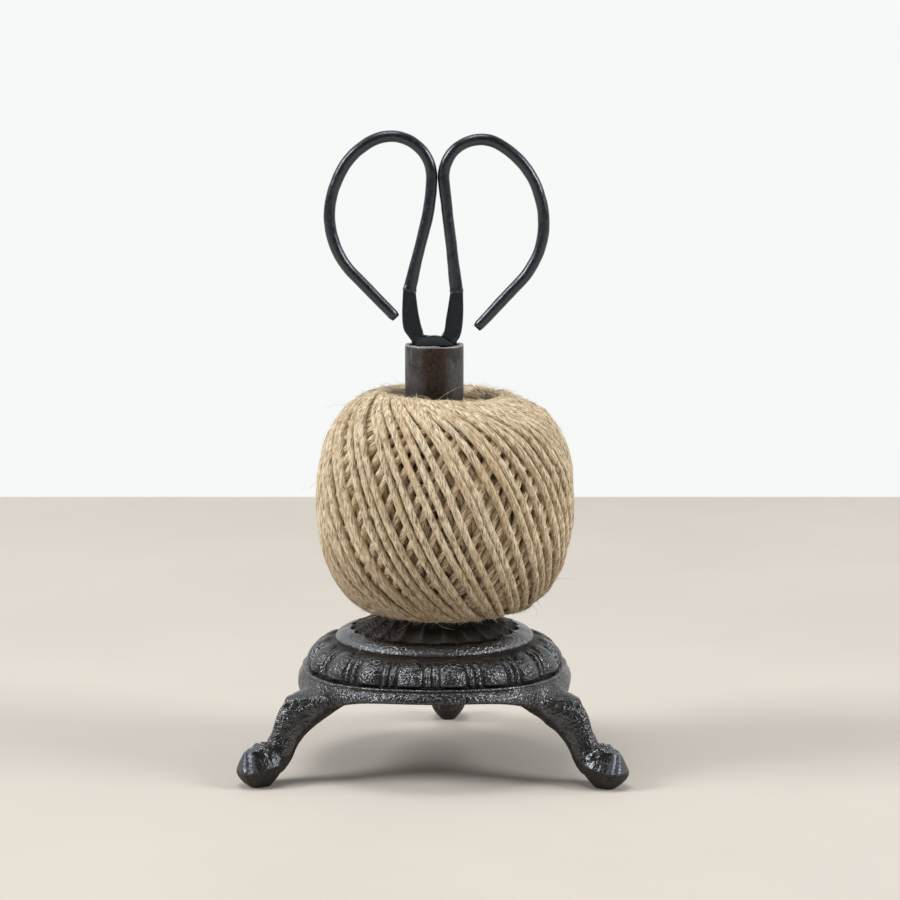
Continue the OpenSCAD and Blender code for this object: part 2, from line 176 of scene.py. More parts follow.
def turn_outwards(mesh, merge=0):
    """Turns a mesh's faces outwards, once points closer than a distance in metres are merged."""
    shell = bmesh.new()
    shell.from_mesh(mesh)
    if merge:
        bmesh.ops.remove_doubles(shell, verts=shell.verts, dist=merge)
    bmesh.ops.recalc_face_normals(shell, faces=shell.faces)
    shell.to_mesh(mesh)
    shell.free()


def shade_smooth(mesh, smooth=True):
    mesh.polygons.foreach_set("use_smooth", [smooth] * len(mesh.polygons))


def make_object(name, points, faces):
    """A smooth mesh object from points in millimetres, with its faces turned outwards."""
    mesh = bpy.data.meshes.new(name)
    mesh.from_pydata((np.asarray(points).reshape(-1, 3) * MM).tolist(), [], faces)
    turn_outwards(mesh)
    shade_smooth(mesh)
    return add_object(name, mesh)


def final_mesh(obj):
    """A mesh of what an object's modifiers or curves make."""
    bpy.context.view_layer.update()
    graph = bpy.context.evaluated_depsgraph_get()
    return bpy.data.meshes.new_from_object(obj.evaluated_get(graph))


def combine(operation, obj, *others):
    """Fuses closed solids into obj, or cuts them out of it, and removes the others."""
    for other in others:
        modifier = obj.modifiers.new("combine", "BOOLEAN")
        modifier.operation = operation
        modifier.solver = "MANIFOLD"
        modifier.object = other
    obj.data = final_mesh(obj)
    obj.modifiers.clear()
    shade_smooth(obj.data)
    for other in others:
        bpy.data.objects.remove(other)


def rings_round(path, ups, section):
    """Rings of points round a path: section holds, for each ring and side, offsets up and sideways."""
    along = unit(np.gradient(path, axis=0))
    up = unit(ups - along * (ups * along).sum(-1, keepdims=True))
    side = np.cross(along, up)
    return path[:, None] + up[:, None] * section[..., :1] + side[:, None] * section[..., 1:]


def curve_through(points, steps):
    """A smooth open curve through points, as rows of any width, with the given steps to each stretch."""
    p = np.asarray(points, float)
    p = np.vstack([2 * p[0] - p[1], p, 2 * p[-1] - p[-2]])
    t = np.linspace(0, 1, steps, endpoint=False)[:, None]
    rows = []
    for a, b, c, d in zip(p, p[1:], p[2:], p[3:]):
        bend = 2 * a - 5 * b + 4 * c - d
        rows.append((2 * b + (c - a) * t + bend * t**2 + (d - a + 3 * (b - c)) * t**3) / 2)
    return np.vstack(rows + [p[-2:-1]])


def softened(points, rounds=2):
    """An outline with its corners cut, with its ends kept."""
    p = np.asarray(points, float)
    for _ in range(rounds):
        q = np.empty((2 * len(p) - 2, p.shape[1]))
        q[0::2] = (1 - CORNER_CUT) * p[:-1] + CORNER_CUT * p[1:]
        q[1::2] = CORNER_CUT * p[:-1] + (1 - CORNER_CUT) * p[1:]
        p = np.vstack([p[:1], q, p[-1:]])
    return p


def resampled(points, step):
    """Points about a step apart along an outline."""
    run = runs(points)
    at = np.linspace(0, run[-1], max(2, round(run[-1] / step) + 1))
    return np.stack([np.interp(at, run, column) for column in points.T], -1)


# Materials


class Nodes:
    """A node tree under construction."""

    def __init__(self, owner):
        owner.use_nodes = True
        self.tree = owner.node_tree

    def add(self, kind, inputs=None, **settings):
        """A node with its settings, whose inputs are values or other nodes' outputs."""
        node = self.tree.nodes.new(kind)
        for key, value in settings.items():
            setattr(node, key, value)
        for key, value in (inputs or {}).items():
            self.feed(node.inputs[key], value)
        return node

    def feed(self, socket, value):
        if isinstance(value, bpy.types.NodeSocket):
            self.tree.links.new(value, socket)
        else:
            socket.default_value = value

    def ramp(self, value, low, high, out_low=0.0, out_high=1.0):
        inputs = {"Value": value, "From Min": low, "From Max": high, "To Min": out_low, "To Max": out_high}
        return self.add("ShaderNodeMapRange", inputs, interpolation_type="SMOOTHSTEP").outputs["Result"]

    def math(self, operation, a, b):
        return self.add("ShaderNodeMath", {0: a, 1: b}, operation=operation).outputs["Value"]

    def split(self, vector):
        return self.add("ShaderNodeSeparateXYZ", {"Vector": vector}).outputs


class Shader(Nodes):
    """A Principled material under construction."""

    def __init__(self, name):
        self.material = bpy.data.materials.new(name)
        super().__init__(self.material)
        self.surface = self.tree.nodes["Principled BSDF"]
        self.place = self.add("ShaderNodeTexCoord").outputs["Object"]

    def set(self, **values):
        """Values or outputs for the surface's own sockets, with _ for spaces in their names."""
        for key, value in values.items():
            self.feed(self.surface.inputs[key.replace("_", " ")], value)

    def noise(self, size, detail=4, roughness=0.55, place=None):
        """Noise whose patches are about size millimetres across."""
        inputs = {"Vector": place or self.place, "Scale": 1 / (size * MM), "Detail": detail}
        return self.add("ShaderNodeTexNoise", {**inputs, "Roughness": roughness}).outputs["Fac"]

    def span(self, value, low, high, *outs):
        """A ramp over a length in millimetres."""
        return self.ramp(value, low * MM, high * MM, *outs)

    def product(self, value, *others):
        for other in others:
            value = self.math("MULTIPLY", value, other)
        return value

    def vector(self, operation, a, b, output="Vector"):
        return self.add("ShaderNodeVectorMath", {0: a, 1: b}, operation=operation).outputs[output]

    def drawn_out(self, share):
        """The place with its height shrunk to a share, which draws a pattern out upwards."""
        return self.add("ShaderNodeMapping", {"Vector": self.place, "Scale": (1, 1, share)}).outputs["Vector"]

    def mix(self, factor, a, b):
        """A colour between a and b."""
        node = self.add("ShaderNodeMix", {"Factor": factor}, data_type="RGBA")
        colours = [s for s in node.inputs if s.type == "RGBA"]
        for socket, value in zip(colours, (a, b)):
            self.feed(socket, value if isinstance(value, bpy.types.NodeSocket) else (*value, 1))
        return next(s for s in node.outputs if s.type == "RGBA")

    def bump(self, height, depth, strength=1.0, normal=None):
        """A bump of the given depth in millimetres."""
        inputs = {"Height": height, "Distance": depth * MM, "Strength": strength}
        inputs |= {"Normal": normal} if normal else {}
        return self.add("ShaderNodeBump", inputs).outputs["Normal"]

    def edges(self):
        """About 0.5 on flat places, more on edges and less in hollows."""
        return self.add("ShaderNodeNewGeometry").outputs["Pointiness"]


# Where the casting's finish and the painted highlight on the ring change, by reach from the tube's axis and
# by height
FLUTED_REACH = (31.2, 29.8)
RING_IN = (31.8, 34)
RING_OUT = (37.8, 36.8)
RING_RISE = (47.8, 49)
RECESS_IN = (35.8, 36.4)
RECESS_OUT = (41.5, 38.5)
RECESS_TOP = (48.2, 47.4)
SHINY_CLAW_REACH = (74, 75.2)
SHINY_CLAW_Z = (6, 7.2)
# Heights over which the dark skin, as painted shade, reaches further round the paws
PAINTED_PAW_SHADE_Z = (14, 10)
ROUGH_LEG_Z = (12, 17)


def cast_iron():
    s = Shader("cast_iron")
    patches = s.noise(9, detail=5)
    grain = s.noise(1.0, roughness=0.62)
    worn = s.ramp(s.edges(), 0.49, 0.57)
    hollow = s.ramp(s.edges(), 0.50, 0.44)
    height = s.split(s.place)["Z"]
    reach = s.vector("DISTANCE", s.vector("MULTIPLY", s.place, (1, 1, 0)), tuple(AXIS * MM), "Value")
    claw = s.product(s.span(reach, *SHINY_CLAW_REACH), s.span(height, *SHINY_CLAW_Z))
    ring = s.product(s.span(reach, *RING_IN), s.span(height, *RING_RISE), s.span(reach, *RING_OUT))
    flutes = s.span(reach, *FLUTED_REACH)
    # What looks down, the flutes and the recess above the lobes keep their brown skin; the rest is rubbed.
    # The dark skin on what looks down is partly painted shade, most of all on the paws
    recess = s.product(s.span(reach, *RECESS_IN), s.span(reach, *RECESS_OUT), s.span(height, *RECESS_TOP))
    facing = s.split(s.add("ShaderNodeNewGeometry").outputs["Normal"])["Z"]
    # Painted shade: low on the paws, more of the surface keeps the dark skin
    painted_paw_shade = s.span(height, *PAINTED_PAW_SHADE_Z, 0, 0.22)
    upward = s.ramp(s.math("SUBTRACT", facing, painted_paw_shade), -0.32, -0.06)
    bare = s.product(upward, s.math("SUBTRACT", 1, s.math("MAXIMUM", recess, hollow)))
    rubbed = s.product(s.math("MAXIMUM", bare, claw), s.ramp(flutes, 0, 1, 1, 0.3))
    metal = s.mix(s.ramp(patches, 0.35, 0.65), (0.067, 0.067, 0.069), (0.110, 0.112, 0.118))
    # Painted highlight: the ring round the cone gets the brightest metal colour, for the band of light along
    # its edge
    metal = s.mix(ring, metal, (0.168, 0.171, 0.179))
    metal = s.mix(claw, metal, (0.120, 0.128, 0.144))
    rusty = s.product(hollow, s.ramp(patches, 0.3, 0.6))
    skin = s.mix(rusty, (0.0165, 0.0108, 0.0078), (0.034, 0.019, 0.011))
    skin = s.mix(flutes, skin, (0.052, 0.039, 0.030))
    edged = s.product(worn, s.ramp(grain, 0.40, 0.68))
    iron = s.mix(edged, s.mix(rubbed, skin, metal), (0.180, 0.188, 0.200))
    dull = s.math("MAXIMUM", s.ramp(rubbed, 0, 1, 0.28, 0), s.ramp(claw, 0, 1, 0, 0.18))
    dull = s.math("MAXIMUM", dull, s.ramp(ring, 0, 1, 0, 0.10))
    polish = s.math("ADD", s.ramp(patches, 0.35, 0.65, 0.32, 0.22), dull)
    s.set(Base_Color=iron, Metallic=rubbed, IOR=1.35, Roughness=polish)
    coarse = s.bump(s.noise(4.5, detail=1), 0.7, s.ramp(claw, 0, 1, 0.5, 0.2))
    s.set(Normal=s.bump(s.noise(1.05, detail=1.5), 0.72, s.span(height, *ROUGH_LEG_Z, 0.40, 0.9), coarse))
    return s.material


# A brown band down the front of the tube, by X and by Y from its axis, and how far its edge wavers
BAND_X = 0.5
BAND_EDGE = (7.5, 5)
BAND_WAVER = 4
BAND_FRONT = (-2, -6)
# Wear of the rim, by height above it
RIM_WEAR = (-0.55, -0.15)
RIM_WAVER = 0.8


def tube_steel():
    s = Shader("tube_steel")
    patches = s.noise(6, detail=5)
    specks = s.noise(1.2, roughness=0.7)
    streaks = s.noise(2.2, place=s.drawn_out(0.45))
    place = s.split(s.place)
    off_band = s.math("ABSOLUTE", s.math("SUBTRACT", place["X"], BAND_X * MM), 0)
    wavy = s.math("ADD", off_band, s.product(s.noise(9, detail=3), BAND_WAVER * MM))
    on_front = s.span(place["Y"], *(AXIS[1] + y for y in BAND_FRONT))
    band = s.product(s.span(wavy, *BAND_EDGE), on_front)
    plain = s.mix(s.ramp(patches, 0.35, 0.65), (0.046, 0.043, 0.042), (0.086, 0.082, 0.081))
    grey = s.mix(s.ramp(streaks, 0.50, 0.66), plain, (0.105, 0.105, 0.110))
    brown = s.mix(s.ramp(specks, 0.35, 0.65), (0.026, 0.017, 0.012), (0.062, 0.040, 0.028))
    banded = s.mix(band, grey, brown)
    pits = s.mix(s.ramp(specks, 0.42, 0.33), banded, (0.016, 0.011, 0.009))
    uneven = s.math("ADD", place["Z"], s.product(s.noise(3, detail=2), RIM_WAVER * MM))
    worn = s.mix(s.span(uneven, *(RIM_Z + z for z in RIM_WEAR)), pits, (0.32, 0.31, 0.30))
    s.set(Base_Color=worn, Metallic=0.55, Roughness=s.ramp(specks, 0.3, 0.7, 0.38, 0.60))
    s.set(Normal=s.bump(specks, 0.16, 0.7))
    return s.material


def blued_steel(name, ior):
    s = Shader(name)
    patches = s.noise(8)
    scale_marks = s.noise(1.8, detail=3, roughness=0.6)
    dark = s.mix(s.ramp(patches, 0.35, 0.65), (0.0045, 0.0065, 0.0085), (0.0080, 0.0105, 0.0130))
    brown = s.mix(s.ramp(s.noise(14, detail=3), 0.55, 0.75), dark, (0.018, 0.0145, 0.012))
    worn = s.mix(s.ramp(s.edges(), 0.53, 0.62), brown, (0.060, 0.068, 0.075))
    s.set(Base_Color=worn, Metallic=0.1, IOR=ior, Roughness=s.ramp(scale_marks, 0.3, 0.7, 0.22, 0.38))
    s.set(Specular_Tint=(0.78, 0.90, 1.0, 1))
    s.set(Normal=s.bump(scale_marks, 0.10, 0.6))
    return s.material


def screw_steel():
    s = Shader("screw_steel")
    marks = s.noise(1.2, detail=5)
    tone = s.mix(s.ramp(marks, 0.35, 0.65), (0.36, 0.35, 0.33), (0.52, 0.51, 0.49))
    dull = s.mix(s.ramp(s.noise(4), 0.55, 0.75), tone, (0.20, 0.16, 0.12))
    s.set(Base_Color=dull, Metallic=0.9, Roughness=s.ramp(marks, 0.3, 0.7, 0.3, 0.5))
    s.set(Normal=s.bump(marks, 0.04, 0.5))
    return s.material


STRAND_MAP = "strand"
# Length of strand in which its fibres turn once round it
STRAND_PITCH = 34
# Painted shade: the twine is coloured darker and browner downwards, by shares of half the ball's height below
# its middle
PAINTED_SHADE_DEPTHS = (0.15, 0.85)


def jute():
    s = Shader("jute")
    lay = s.add("ShaderNodeUVMap", uv_map=STRAND_MAP).outputs["UV"]
    around, along, _ = s.split(lay)
    twisted = s.math("SUBTRACT", around, s.math("DIVIDE", along, STRAND_PITCH * MM))

    def streaks(count, length, detail):
        """Noise drawn out along the fibres: count to a turn round the strand, and a length in millimetres."""
        across = s.product(twisted, count)
        down = s.math("DIVIDE", along, length * MM)
        place = s.add("ShaderNodeCombineXYZ", {"X": across, "Y": down}).outputs["Vector"]
        return s.add("ShaderNodeTexNoise", {"Vector": place, "Scale": 1, "Detail": detail}).outputs["Fac"]

    fibres = streaks(9, 5, 3)
    hairs = streaks(24, 2.6, 3)
    length_tone = streaks(0.5, 45, 2)
    patches = s.noise(5, detail=3)
    tone = s.mix(s.ramp(fibres, 0.32, 0.66), (0.360, 0.245, 0.135), (0.860, 0.700, 0.485))
    fine = s.mix(s.ramp(hairs, 0.46, 0.66, 0, 0.85), tone, (0.970, 0.880, 0.690))
    deep = s.mix(s.ramp(hairs, 0.48, 0.32, 0, 0.9), fine, (0.130, 0.078, 0.040))
    warm = s.mix(s.ramp(length_tone, 0.45, 0.75, 0, 0.4), deep, (0.560, 0.380, 0.200))
    grey = s.mix(s.ramp(patches, 0.50, 0.75, 0, 0.35), warm, (0.720, 0.620, 0.470))
    # Painted shade towards the bottom of the ball
    low = s.span(s.split(s.place)["Z"], *(BALL[2] - share * BALL_HALF for share in PAINTED_SHADE_DEPTHS), 0, 0.42)
    brown = s.mix(low, grey, (0.100, 0.045, 0.010))
    s.set(Base_Color=brown, Roughness=0.88, Specular_IOR_Level=0.15)
    s.set(Normal=s.bump(hairs, 0.30, 0.9, s.bump(fibres, 0.6, 0.9)))
    return s.material


def jute_heart():
    s = Shader("jute_heart")
    fibres = s.noise(1.4, detail=5, place=s.drawn_out(0.3))
    # Painted shade: the heart's jute is coloured darker than the strands over it, for the gaps between them
    tone = s.mix(s.ramp(fibres, 0.35, 0.65), (0.200, 0.135, 0.075), (0.480, 0.360, 0.225))
    s.set(Base_Color=tone, Roughness=0.95, Specular_IOR_Level=0.15)
    s.set(Normal=s.bump(fibres, 0.5, 0.9))
    return s.material


def jute_fibre():
    s = Shader("jute_fibre")
    tone = s.mix(s.ramp(s.noise(5), 0.35, 0.65), (0.620, 0.480, 0.310), (0.960, 0.880, 0.720))
    s.set(Base_Color=tone, Roughness=0.8, Specular_IOR_Level=0.3)
    return s.material


# Stand: one casting
LEG_ANGLES = (-29, 87, 209)
LOBES = 18
FLUTES = 22
DOME_SIDES = 720
OUTLINE_STEP = 0.42
HOLE_R = 3.3
SOCKET_R = TUBE_R + 0.15
BOSS_Z = SOCKET_Z - 6
RING_FOOT_Z = 47.3
FILLET_Z = 38.5
APRON_LOW = 33.8
# The apron hangs lower at the legs, and the lines above it droop towards them, by angle from a leg
ARCH_DROP = 6.5
ARCH_SPREAD = 20
ARCH_Z = (36.6, 33.4)
DROOP = 1.2
DROOP_ANGLES = (55, 8)
DROOP_Z = (41.5, 38)
SKIRT_R = 40
# Lobes: places and half widths in pitches, and lengths as shares of the way down
TONGUE_HALF = 0.30
RIDGE_HALF = 0.068
RIDGE_PLACE = 0.415
TONGUE_RISE = 0.7
TONGUE_SWELL = 1.3
RIDGE_RISE = 1.1
TONGUE_ROUND = 0.40
RIDGE_START = (0.05, 0.30)
LOBE_START = (0.0, 0.10)
LOBE_END = (1.0, 0.93)
# Flutes: their reach, depth, half width in pitches, and their ends as shares of their length
FLUTE_IN = 19.4
FLUTE_OUT = 31.0
FLUTE_DEPTH = 1.7
FLUTE_HALF = 0.47
FLUTE_START = (0.0, 0.2)
FLUTE_ROUND = 0.18
# Lumps of the casting here and below: size, seed and height
DOME_LUMPS = [(7, 3, 0.10), (3, 4, 0.05)]
LUMPS_R = 20

DOME_TOP = [
    (SOCKET_R, HUB_Z), (17.6, HUB_Z), (18.8, HUB_Z - 0.5), (20.0, HUB_Z - 1.3), (25.0, 54.2), (30.0, 51.7),
    (32.4, 51.2), (34.4, 50.4), (35.9, 49.2), (36.6, 48.0), (36.2, RING_FOOT_Z),
]
DOME_OVOLO = [
    (36.2, RING_FOOT_Z), (38.6, 46.9), (41.6, 45.6), (43.9, 43.5), (45.3, 40.8), (45.6, FILLET_Z),
]
DOME_APRON = [
    (45.6, FILLET_Z), (47.4, 38.5), (48.5, 38.5), (48.9, 38.1), (48.7, 37.75), (48.2, 37.5), (48.9, 37.1),
    (49.4, 36.6), (50.2, 35.3), (50.9, APRON_LOW), (50.4, 33.2), (48.6, 33.2), (47.6, APRON_LOW),
]
DOME_INSIDE = [
    (47.6, APRON_LOW), (41.9, 38.5), (32.6, 45.3), (17.0, 48.6), (15.2, 48.0), (15.0, BOSS_Z),
    (HOLE_R, BOSS_Z), (HOLE_R, SOCKET_Z), (SOCKET_R, SOCKET_Z), (SOCKET_R, HUB_Z),
]


def near_leg(theta):
    """Angle in degrees to the nearest leg."""
    turns = np.degrees(theta)[..., None] - np.array(LEG_ANGLES)
    return np.abs((turns + 180) % 360 - 180).min(-1)


def round_end(past, length):
    """Share of its width that a tongue has at a place past the start of its round end of a given length."""
    return np.sqrt(np.clip(1 - (np.clip(past, 0, 1) / length) ** 2, 0.0001, 1))


def gadroon(theta, v):
    """Height of the moulding's lobes: a broad tongue and a pair of narrow ridges to each pitch."""
    p = (theta * LOBES / TAU + 0.5) % 1 - 0.5
    half = TONGUE_HALF * round_end(TONGUE_ROUND - v, TONGUE_ROUND)
    broad = np.clip(1 - (p / half) ** 2, 0, 1) ** 0.5 * (TONGUE_RISE + TONGUE_SWELL * v)
    off_ridge = np.abs(np.abs(p) - RIDGE_PLACE)
    narrow = np.clip(1 - (off_ridge / RIDGE_HALF) ** 2, 0, 1) ** 0.5
    narrow = narrow * RIDGE_RISE * smoothstep(*RIDGE_START, v)
    return np.maximum(broad, narrow) * (smoothstep(*LOBE_START, v) * smoothstep(*LOBE_END, v))


def flute(theta, v):
    """Depth of the scoops round the cone: tongues with round outer ends, and thin ridges between."""
    p = (theta * FLUTES / TAU) % 1 - 0.5
    half = FLUTE_HALF * round_end(v - 1 + FLUTE_ROUND, FLUTE_ROUND)
    scoop = np.clip(1 - (p / half) ** 2, 0, 1)
    return -FLUTE_DEPTH * scoop * smoothstep(*FLUTE_START, v)


def dome():
    """The turned part of the stand, with its carving, down to the arched apron."""
    top = resampled(softened(DOME_TOP), OUTLINE_STEP)
    ovolo = resampled(softened(DOME_OVOLO), OUTLINE_STEP)
    apron = resampled(softened(DOME_APRON), OUTLINE_STEP)
    inside = resampled(softened(DOME_INSIDE, 1), OUTLINE_STEP * 3)
    outline = np.vstack([top, ovolo[1:], apron[1:], inside[1:-1]])
    normal = np.roll(outline, -1, 0) - np.roll(outline, 1, 0)
    normal = unit(np.stack([-normal[:, 1], normal[:, 0]], -1))
    zones = np.repeat(
        ["top", "ovolo", "apron", "inside"], [len(top), len(ovolo) - 1, len(apron) - 1, len(inside) - 2]
    )
    theta = circle_angles(DOME_SIDES)
    r, z = outline[:, :1], outline[:, 1:]
    carved = np.zeros((len(outline), DOME_SIDES))
    on_ovolo = zones == "ovolo"
    carved[on_ovolo] = gadroon(theta[None], (RING_FOOT_Z - z[on_ovolo]) / (RING_FOOT_Z - FILLET_Z))
    on_cone = (zones == "top") & within(outline[:, 0], FLUTE_IN, FLUTE_OUT)
    carved[on_cone] = flute(theta[None], (r[on_cone] - FLUTE_IN) / (FLUTE_OUT - FLUTE_IN))
    leg = near_leg(theta)
    droop = DROOP * smoothstep(*DROOP_ANGLES, leg)[None] * smoothstep(*DROOP_Z, z)
    arch = ARCH_DROP * np.exp(-((leg / ARCH_SPREAD) ** 2))[None] * smoothstep(*ARCH_Z, z)
    outside = (zones != "inside")[:, None]
    radius = r + normal[:, :1] * carved
    height = z + normal[:, 1:] * carved - np.where(outside | (r > SKIRT_R), droop + arch, 0)
    points = polar(radius, theta, height)
    rough = sum(lumps(points, *row) for row in DOME_LUMPS)
    rough = rough * (outside & (r > LUMPS_R))
    points = points + unit(points * [1, 1, 0.4]) * rough[..., None]
    return make_object("stand", points + AXIS, grid_faces(len(outline), DOME_SIDES, close_rows=True))


# Rows down a leg: outer edge (reach, height), inner edge (reach, height), width
LEG_ROWS = [
    (43.5, 35.4, 38.6, 29.8, 30.0),
    (50.6, 33.8, 44.0, 25.4, 24.0),
    (56.4, 32.0, 49.0, 21.6, 17.0),
    (60.4, 29.8, 52.8, 18.6, 13.2),
    (63.0, 25.8, 55.6, 15.4, 11.2),
    (65.2, 20.8, 57.6, 12.2, 10.0),
    (67.2, 16.6, 59.4, 9.0, 10.2),
    (69.2, 13.0, 62.4, 5.0, 10.0),
    (71.0, 9.0, 66.0, 3.0, 8.0),
]
LEG_STEPS = 20
LEG_FRONT_SIDES = 56
LEG_FLANK_SIDES = 18
LEG_BACK_SIDES = 12
# A leg's section: its ridges' place, from -1 at the back to 1, its back's width, and how pointed its front is
LEG_RIDGE = -0.5
LEG_BACK = 0.55
LEG_POINT = 1.1
# Smoothing where the legs meet the apron
BLEND_ROUNDS = 24
BLEND_REACH = (45, 54.5)
BLEND_Z = (22, 36.6)
# Carving on a leg: place (reach, sideways, height), radius and height; those off the middle are made twice
LEG_BUMPS = [
    ((60.0, 0, 31.4), 2.0, 0.8),
    ((58.6, 3.2, 31.4), 1.9, 0.9),
    ((56.0, 5.6, 31.6), 1.9, 0.9),
    ((53.0, 8.0, 31.8), 2.0, 0.8),
    ((61.0, 2.0, 28.9), 0.9, -1.3),
    ((58.0, 4.4, 29.4), 0.9, -1.4),
    ((55.4, 6.2, 29.7), 0.9, -1.2),
    ((52.6, 8.2, 30.0), 0.9, -1.1),
    ((72.6, 0, 14.6), 2.0, 1.3),
    ((70.8, 3.2, 14.4), 1.8, 1.3),
    ((67.8, 5.0, 13.2), 1.7, 1.0),
    ((65.0, 5.6, 11.8), 1.6, 0.7),
    ((72.0, 1.8, 13.2), 0.8, -1.3),
    ((69.4, 4.6, 12.8), 0.8, -1.2),
    ((66.4, 5.8, 11.8), 0.8, -0.9),
]
# The paw at its sole, at the edge round it and on top: reach of its middle, from there to its front and back,
# half width, and how square it is
PAW_PLANS = [
    (70.6, 3.8, 3.4, 2.8, 2.4),
    (70.5, 8.5, 8.3, 6.8, 2.8),
    (70.0, 6.4, 5.5, 2.6, 2.4),
]
PAW_SIDES = 144
# Rows up to the paw's edge, up to its top and in over it
PAW_ROWS = (26, 30, 16)
PAW_BULGE = 0.9
PAW_SLOPE = 1.15
PAW_CLOSED = 0.95
PAW_CROWN = 0.8
# Height of the paw's edge and of its top at the toes, and their rise per millimetre backwards
PAW_EDGE_Z = (5.6, 0.22)
PAW_TOP_Z = (12.9, 0.20)
# The pointed claw on the middle toe, and the grooves beside it
CLAW_W = 9.6
CLAW_FOOT = 6.0
CLAW_TOP = 13.8
CLAW_RISE = 0.2
CLAW_STEP = (0.35, -0.25)
CLAW_REACH = (74.2, 75.2)
CLAW_START = (5.6, 6.4)
GROOVE_DEPTH = 0.4
GROOVE_PLACE = 0.7
GROOVE_HALF = 0.6
GROOVE_REACH = (73.5, 75.5)
GROOVE_START = (6, 7)
LEG_LUMPS = (6, 8, 0.12)
LEG_GRAIN = (2.6, 9, 0.06)
LEG_GRAIN_START = (14, 17)
CARVING_START = (0.2, 2)


def leg_section():
    """Shares of half the depth and half the width round a leg: a round front, a ridge and a narrower back."""
    a = np.linspace(-math.pi / 2, math.pi / 2, LEG_FRONT_SIDES, endpoint=False)
    across = np.sign(np.sin(a)) * np.abs(np.sin(a)) ** LEG_POINT
    front = np.stack([LEG_RIDGE + (1 - LEG_RIDGE) * np.cos(a), across], -1)
    behind = [(LEG_RIDGE, 1), (-1, LEG_BACK), (-1, -LEG_BACK), (LEG_RIDGE, -1)]
    sides = (LEG_FLANK_SIDES, LEG_BACK_SIDES, LEG_FLANK_SIDES)
    rest = [np.linspace(*ends, count, endpoint=False) for *ends, count in zip(behind, behind[1:], sides)]
    return np.vstack([front, *rest])


def with_carving(p, facing):
    """A leg's or paw's rows of points with their carving; facing is 1 where rows run down and -1 where up."""
    height = np.zeros(p.shape[:-1])
    for place, radius, rise in LEG_BUMPS:
        for side in (1, -1) if place[1] else (1,):
            away = np.linalg.norm(p - np.array(place) * [1, side, 1], axis=-1)
            height += rise * np.exp(-((away / radius) ** 2))
    x, y, z = p[..., 0], np.abs(p[..., 1]), p[..., 2]
    half = CLAW_W / 2 * np.clip((CLAW_TOP - z) / (CLAW_TOP - CLAW_FOOT), 0, 1)
    on_claw = smoothstep(half + CLAW_STEP[0], half + CLAW_STEP[1], y)
    height += CLAW_RISE * on_claw * smoothstep(*CLAW_REACH, x) * smoothstep(*CLAW_START, z)
    in_groove = np.exp(-(((y - half - GROOVE_PLACE) / GROOVE_HALF) ** 2))
    height -= GROOVE_DEPTH * in_groove * smoothstep(*GROOVE_REACH, x) * smoothstep(*GROOVE_START, z)
    height += lumps(p, *LEG_LUMPS) + lumps(p, *LEG_GRAIN) * smoothstep(*LEG_GRAIN_START, z)
    round_it = np.roll(p, -1, 1) - np.roll(p, 1, 1)
    out = facing * unit(np.cross(np.gradient(p, axis=0), round_it))
    return p + out * (height * smoothstep(*CARVING_START, z))[..., None]


def leg():
    """One leg along +X from the tube's axis: a limb with a leafy knee, down into the paw."""
    rows = curve_through(LEG_ROWS, LEG_STEPS)
    section = leg_section()
    outer = polar(rows[:, 0], 0, rows[:, 1])
    inner = polar(rows[:, 2], 0, rows[:, 3])
    middle = (outer + inner) / 2
    points = middle[:, None] + (outer - middle)[:, None] * section[:, :1]
    points[..., 1] += rows[:, 4:] / 2 * section[:, 1]
    for _ in range(2):
        points = (np.roll(points, 1, 1) + 2 * points + np.roll(points, -1, 1)) / 4
    return with_carving(points, 1)


def paw_plan(plan, a):
    """Reach and sideways at angles round the paw, at one of its heights."""
    middle, front, back, half, square = plan
    c, s = np.cos(a), np.sin(a)
    size = (np.abs(c) ** square + np.abs(s) ** square) ** (-1 / square)
    return np.stack([middle + np.where(c > 0, front, back) * c * size, half * s * size], -1)


def paw():
    """The paw: a flat-sided pad, an edge round it and the toes above, whose fronts are cut as claws."""
    a = circle_angles(PAW_SIDES)
    sole, edge, top = (paw_plan(plan, a) for plan in PAW_PLANS)
    middle = top.mean(0)
    edge_z = PAW_EDGE_Z[0] + PAW_EDGE_Z[1] * (edge[:, 0].max() - edge[:, 0])
    top_z = PAW_TOP_Z[0] + PAW_TOP_Z[1] * (top[:, 0].max() - top[:, 0])
    rows = []
    for v in np.linspace(0, 1, PAW_ROWS[0], endpoint=False):
        out = math.sin(v * math.pi / 2) ** PAW_BULGE
        rows.append(np.column_stack([sole + (edge - sole) * out, edge_z * v]))
    for v in np.linspace(0, 1, PAW_ROWS[1], endpoint=False):
        rows.append(np.column_stack([edge + (top - edge) * v**PAW_SLOPE, edge_z + (top_z - edge_z) * v]))
    for v in np.linspace(0, PAW_CLOSED, PAW_ROWS[2]):
        rows.append(np.column_stack([top + (middle - top) * v, top_z + PAW_CROWN * v]))
    return with_carving(np.array(rows), -1)


def turned(points, degrees):
    """Points turned about the vertical."""
    c, s = math.cos(math.radians(degrees)), math.sin(math.radians(degrees))
    return points @ np.array([[c, s, 0], [-s, c, 0], [0, 0, 1]])


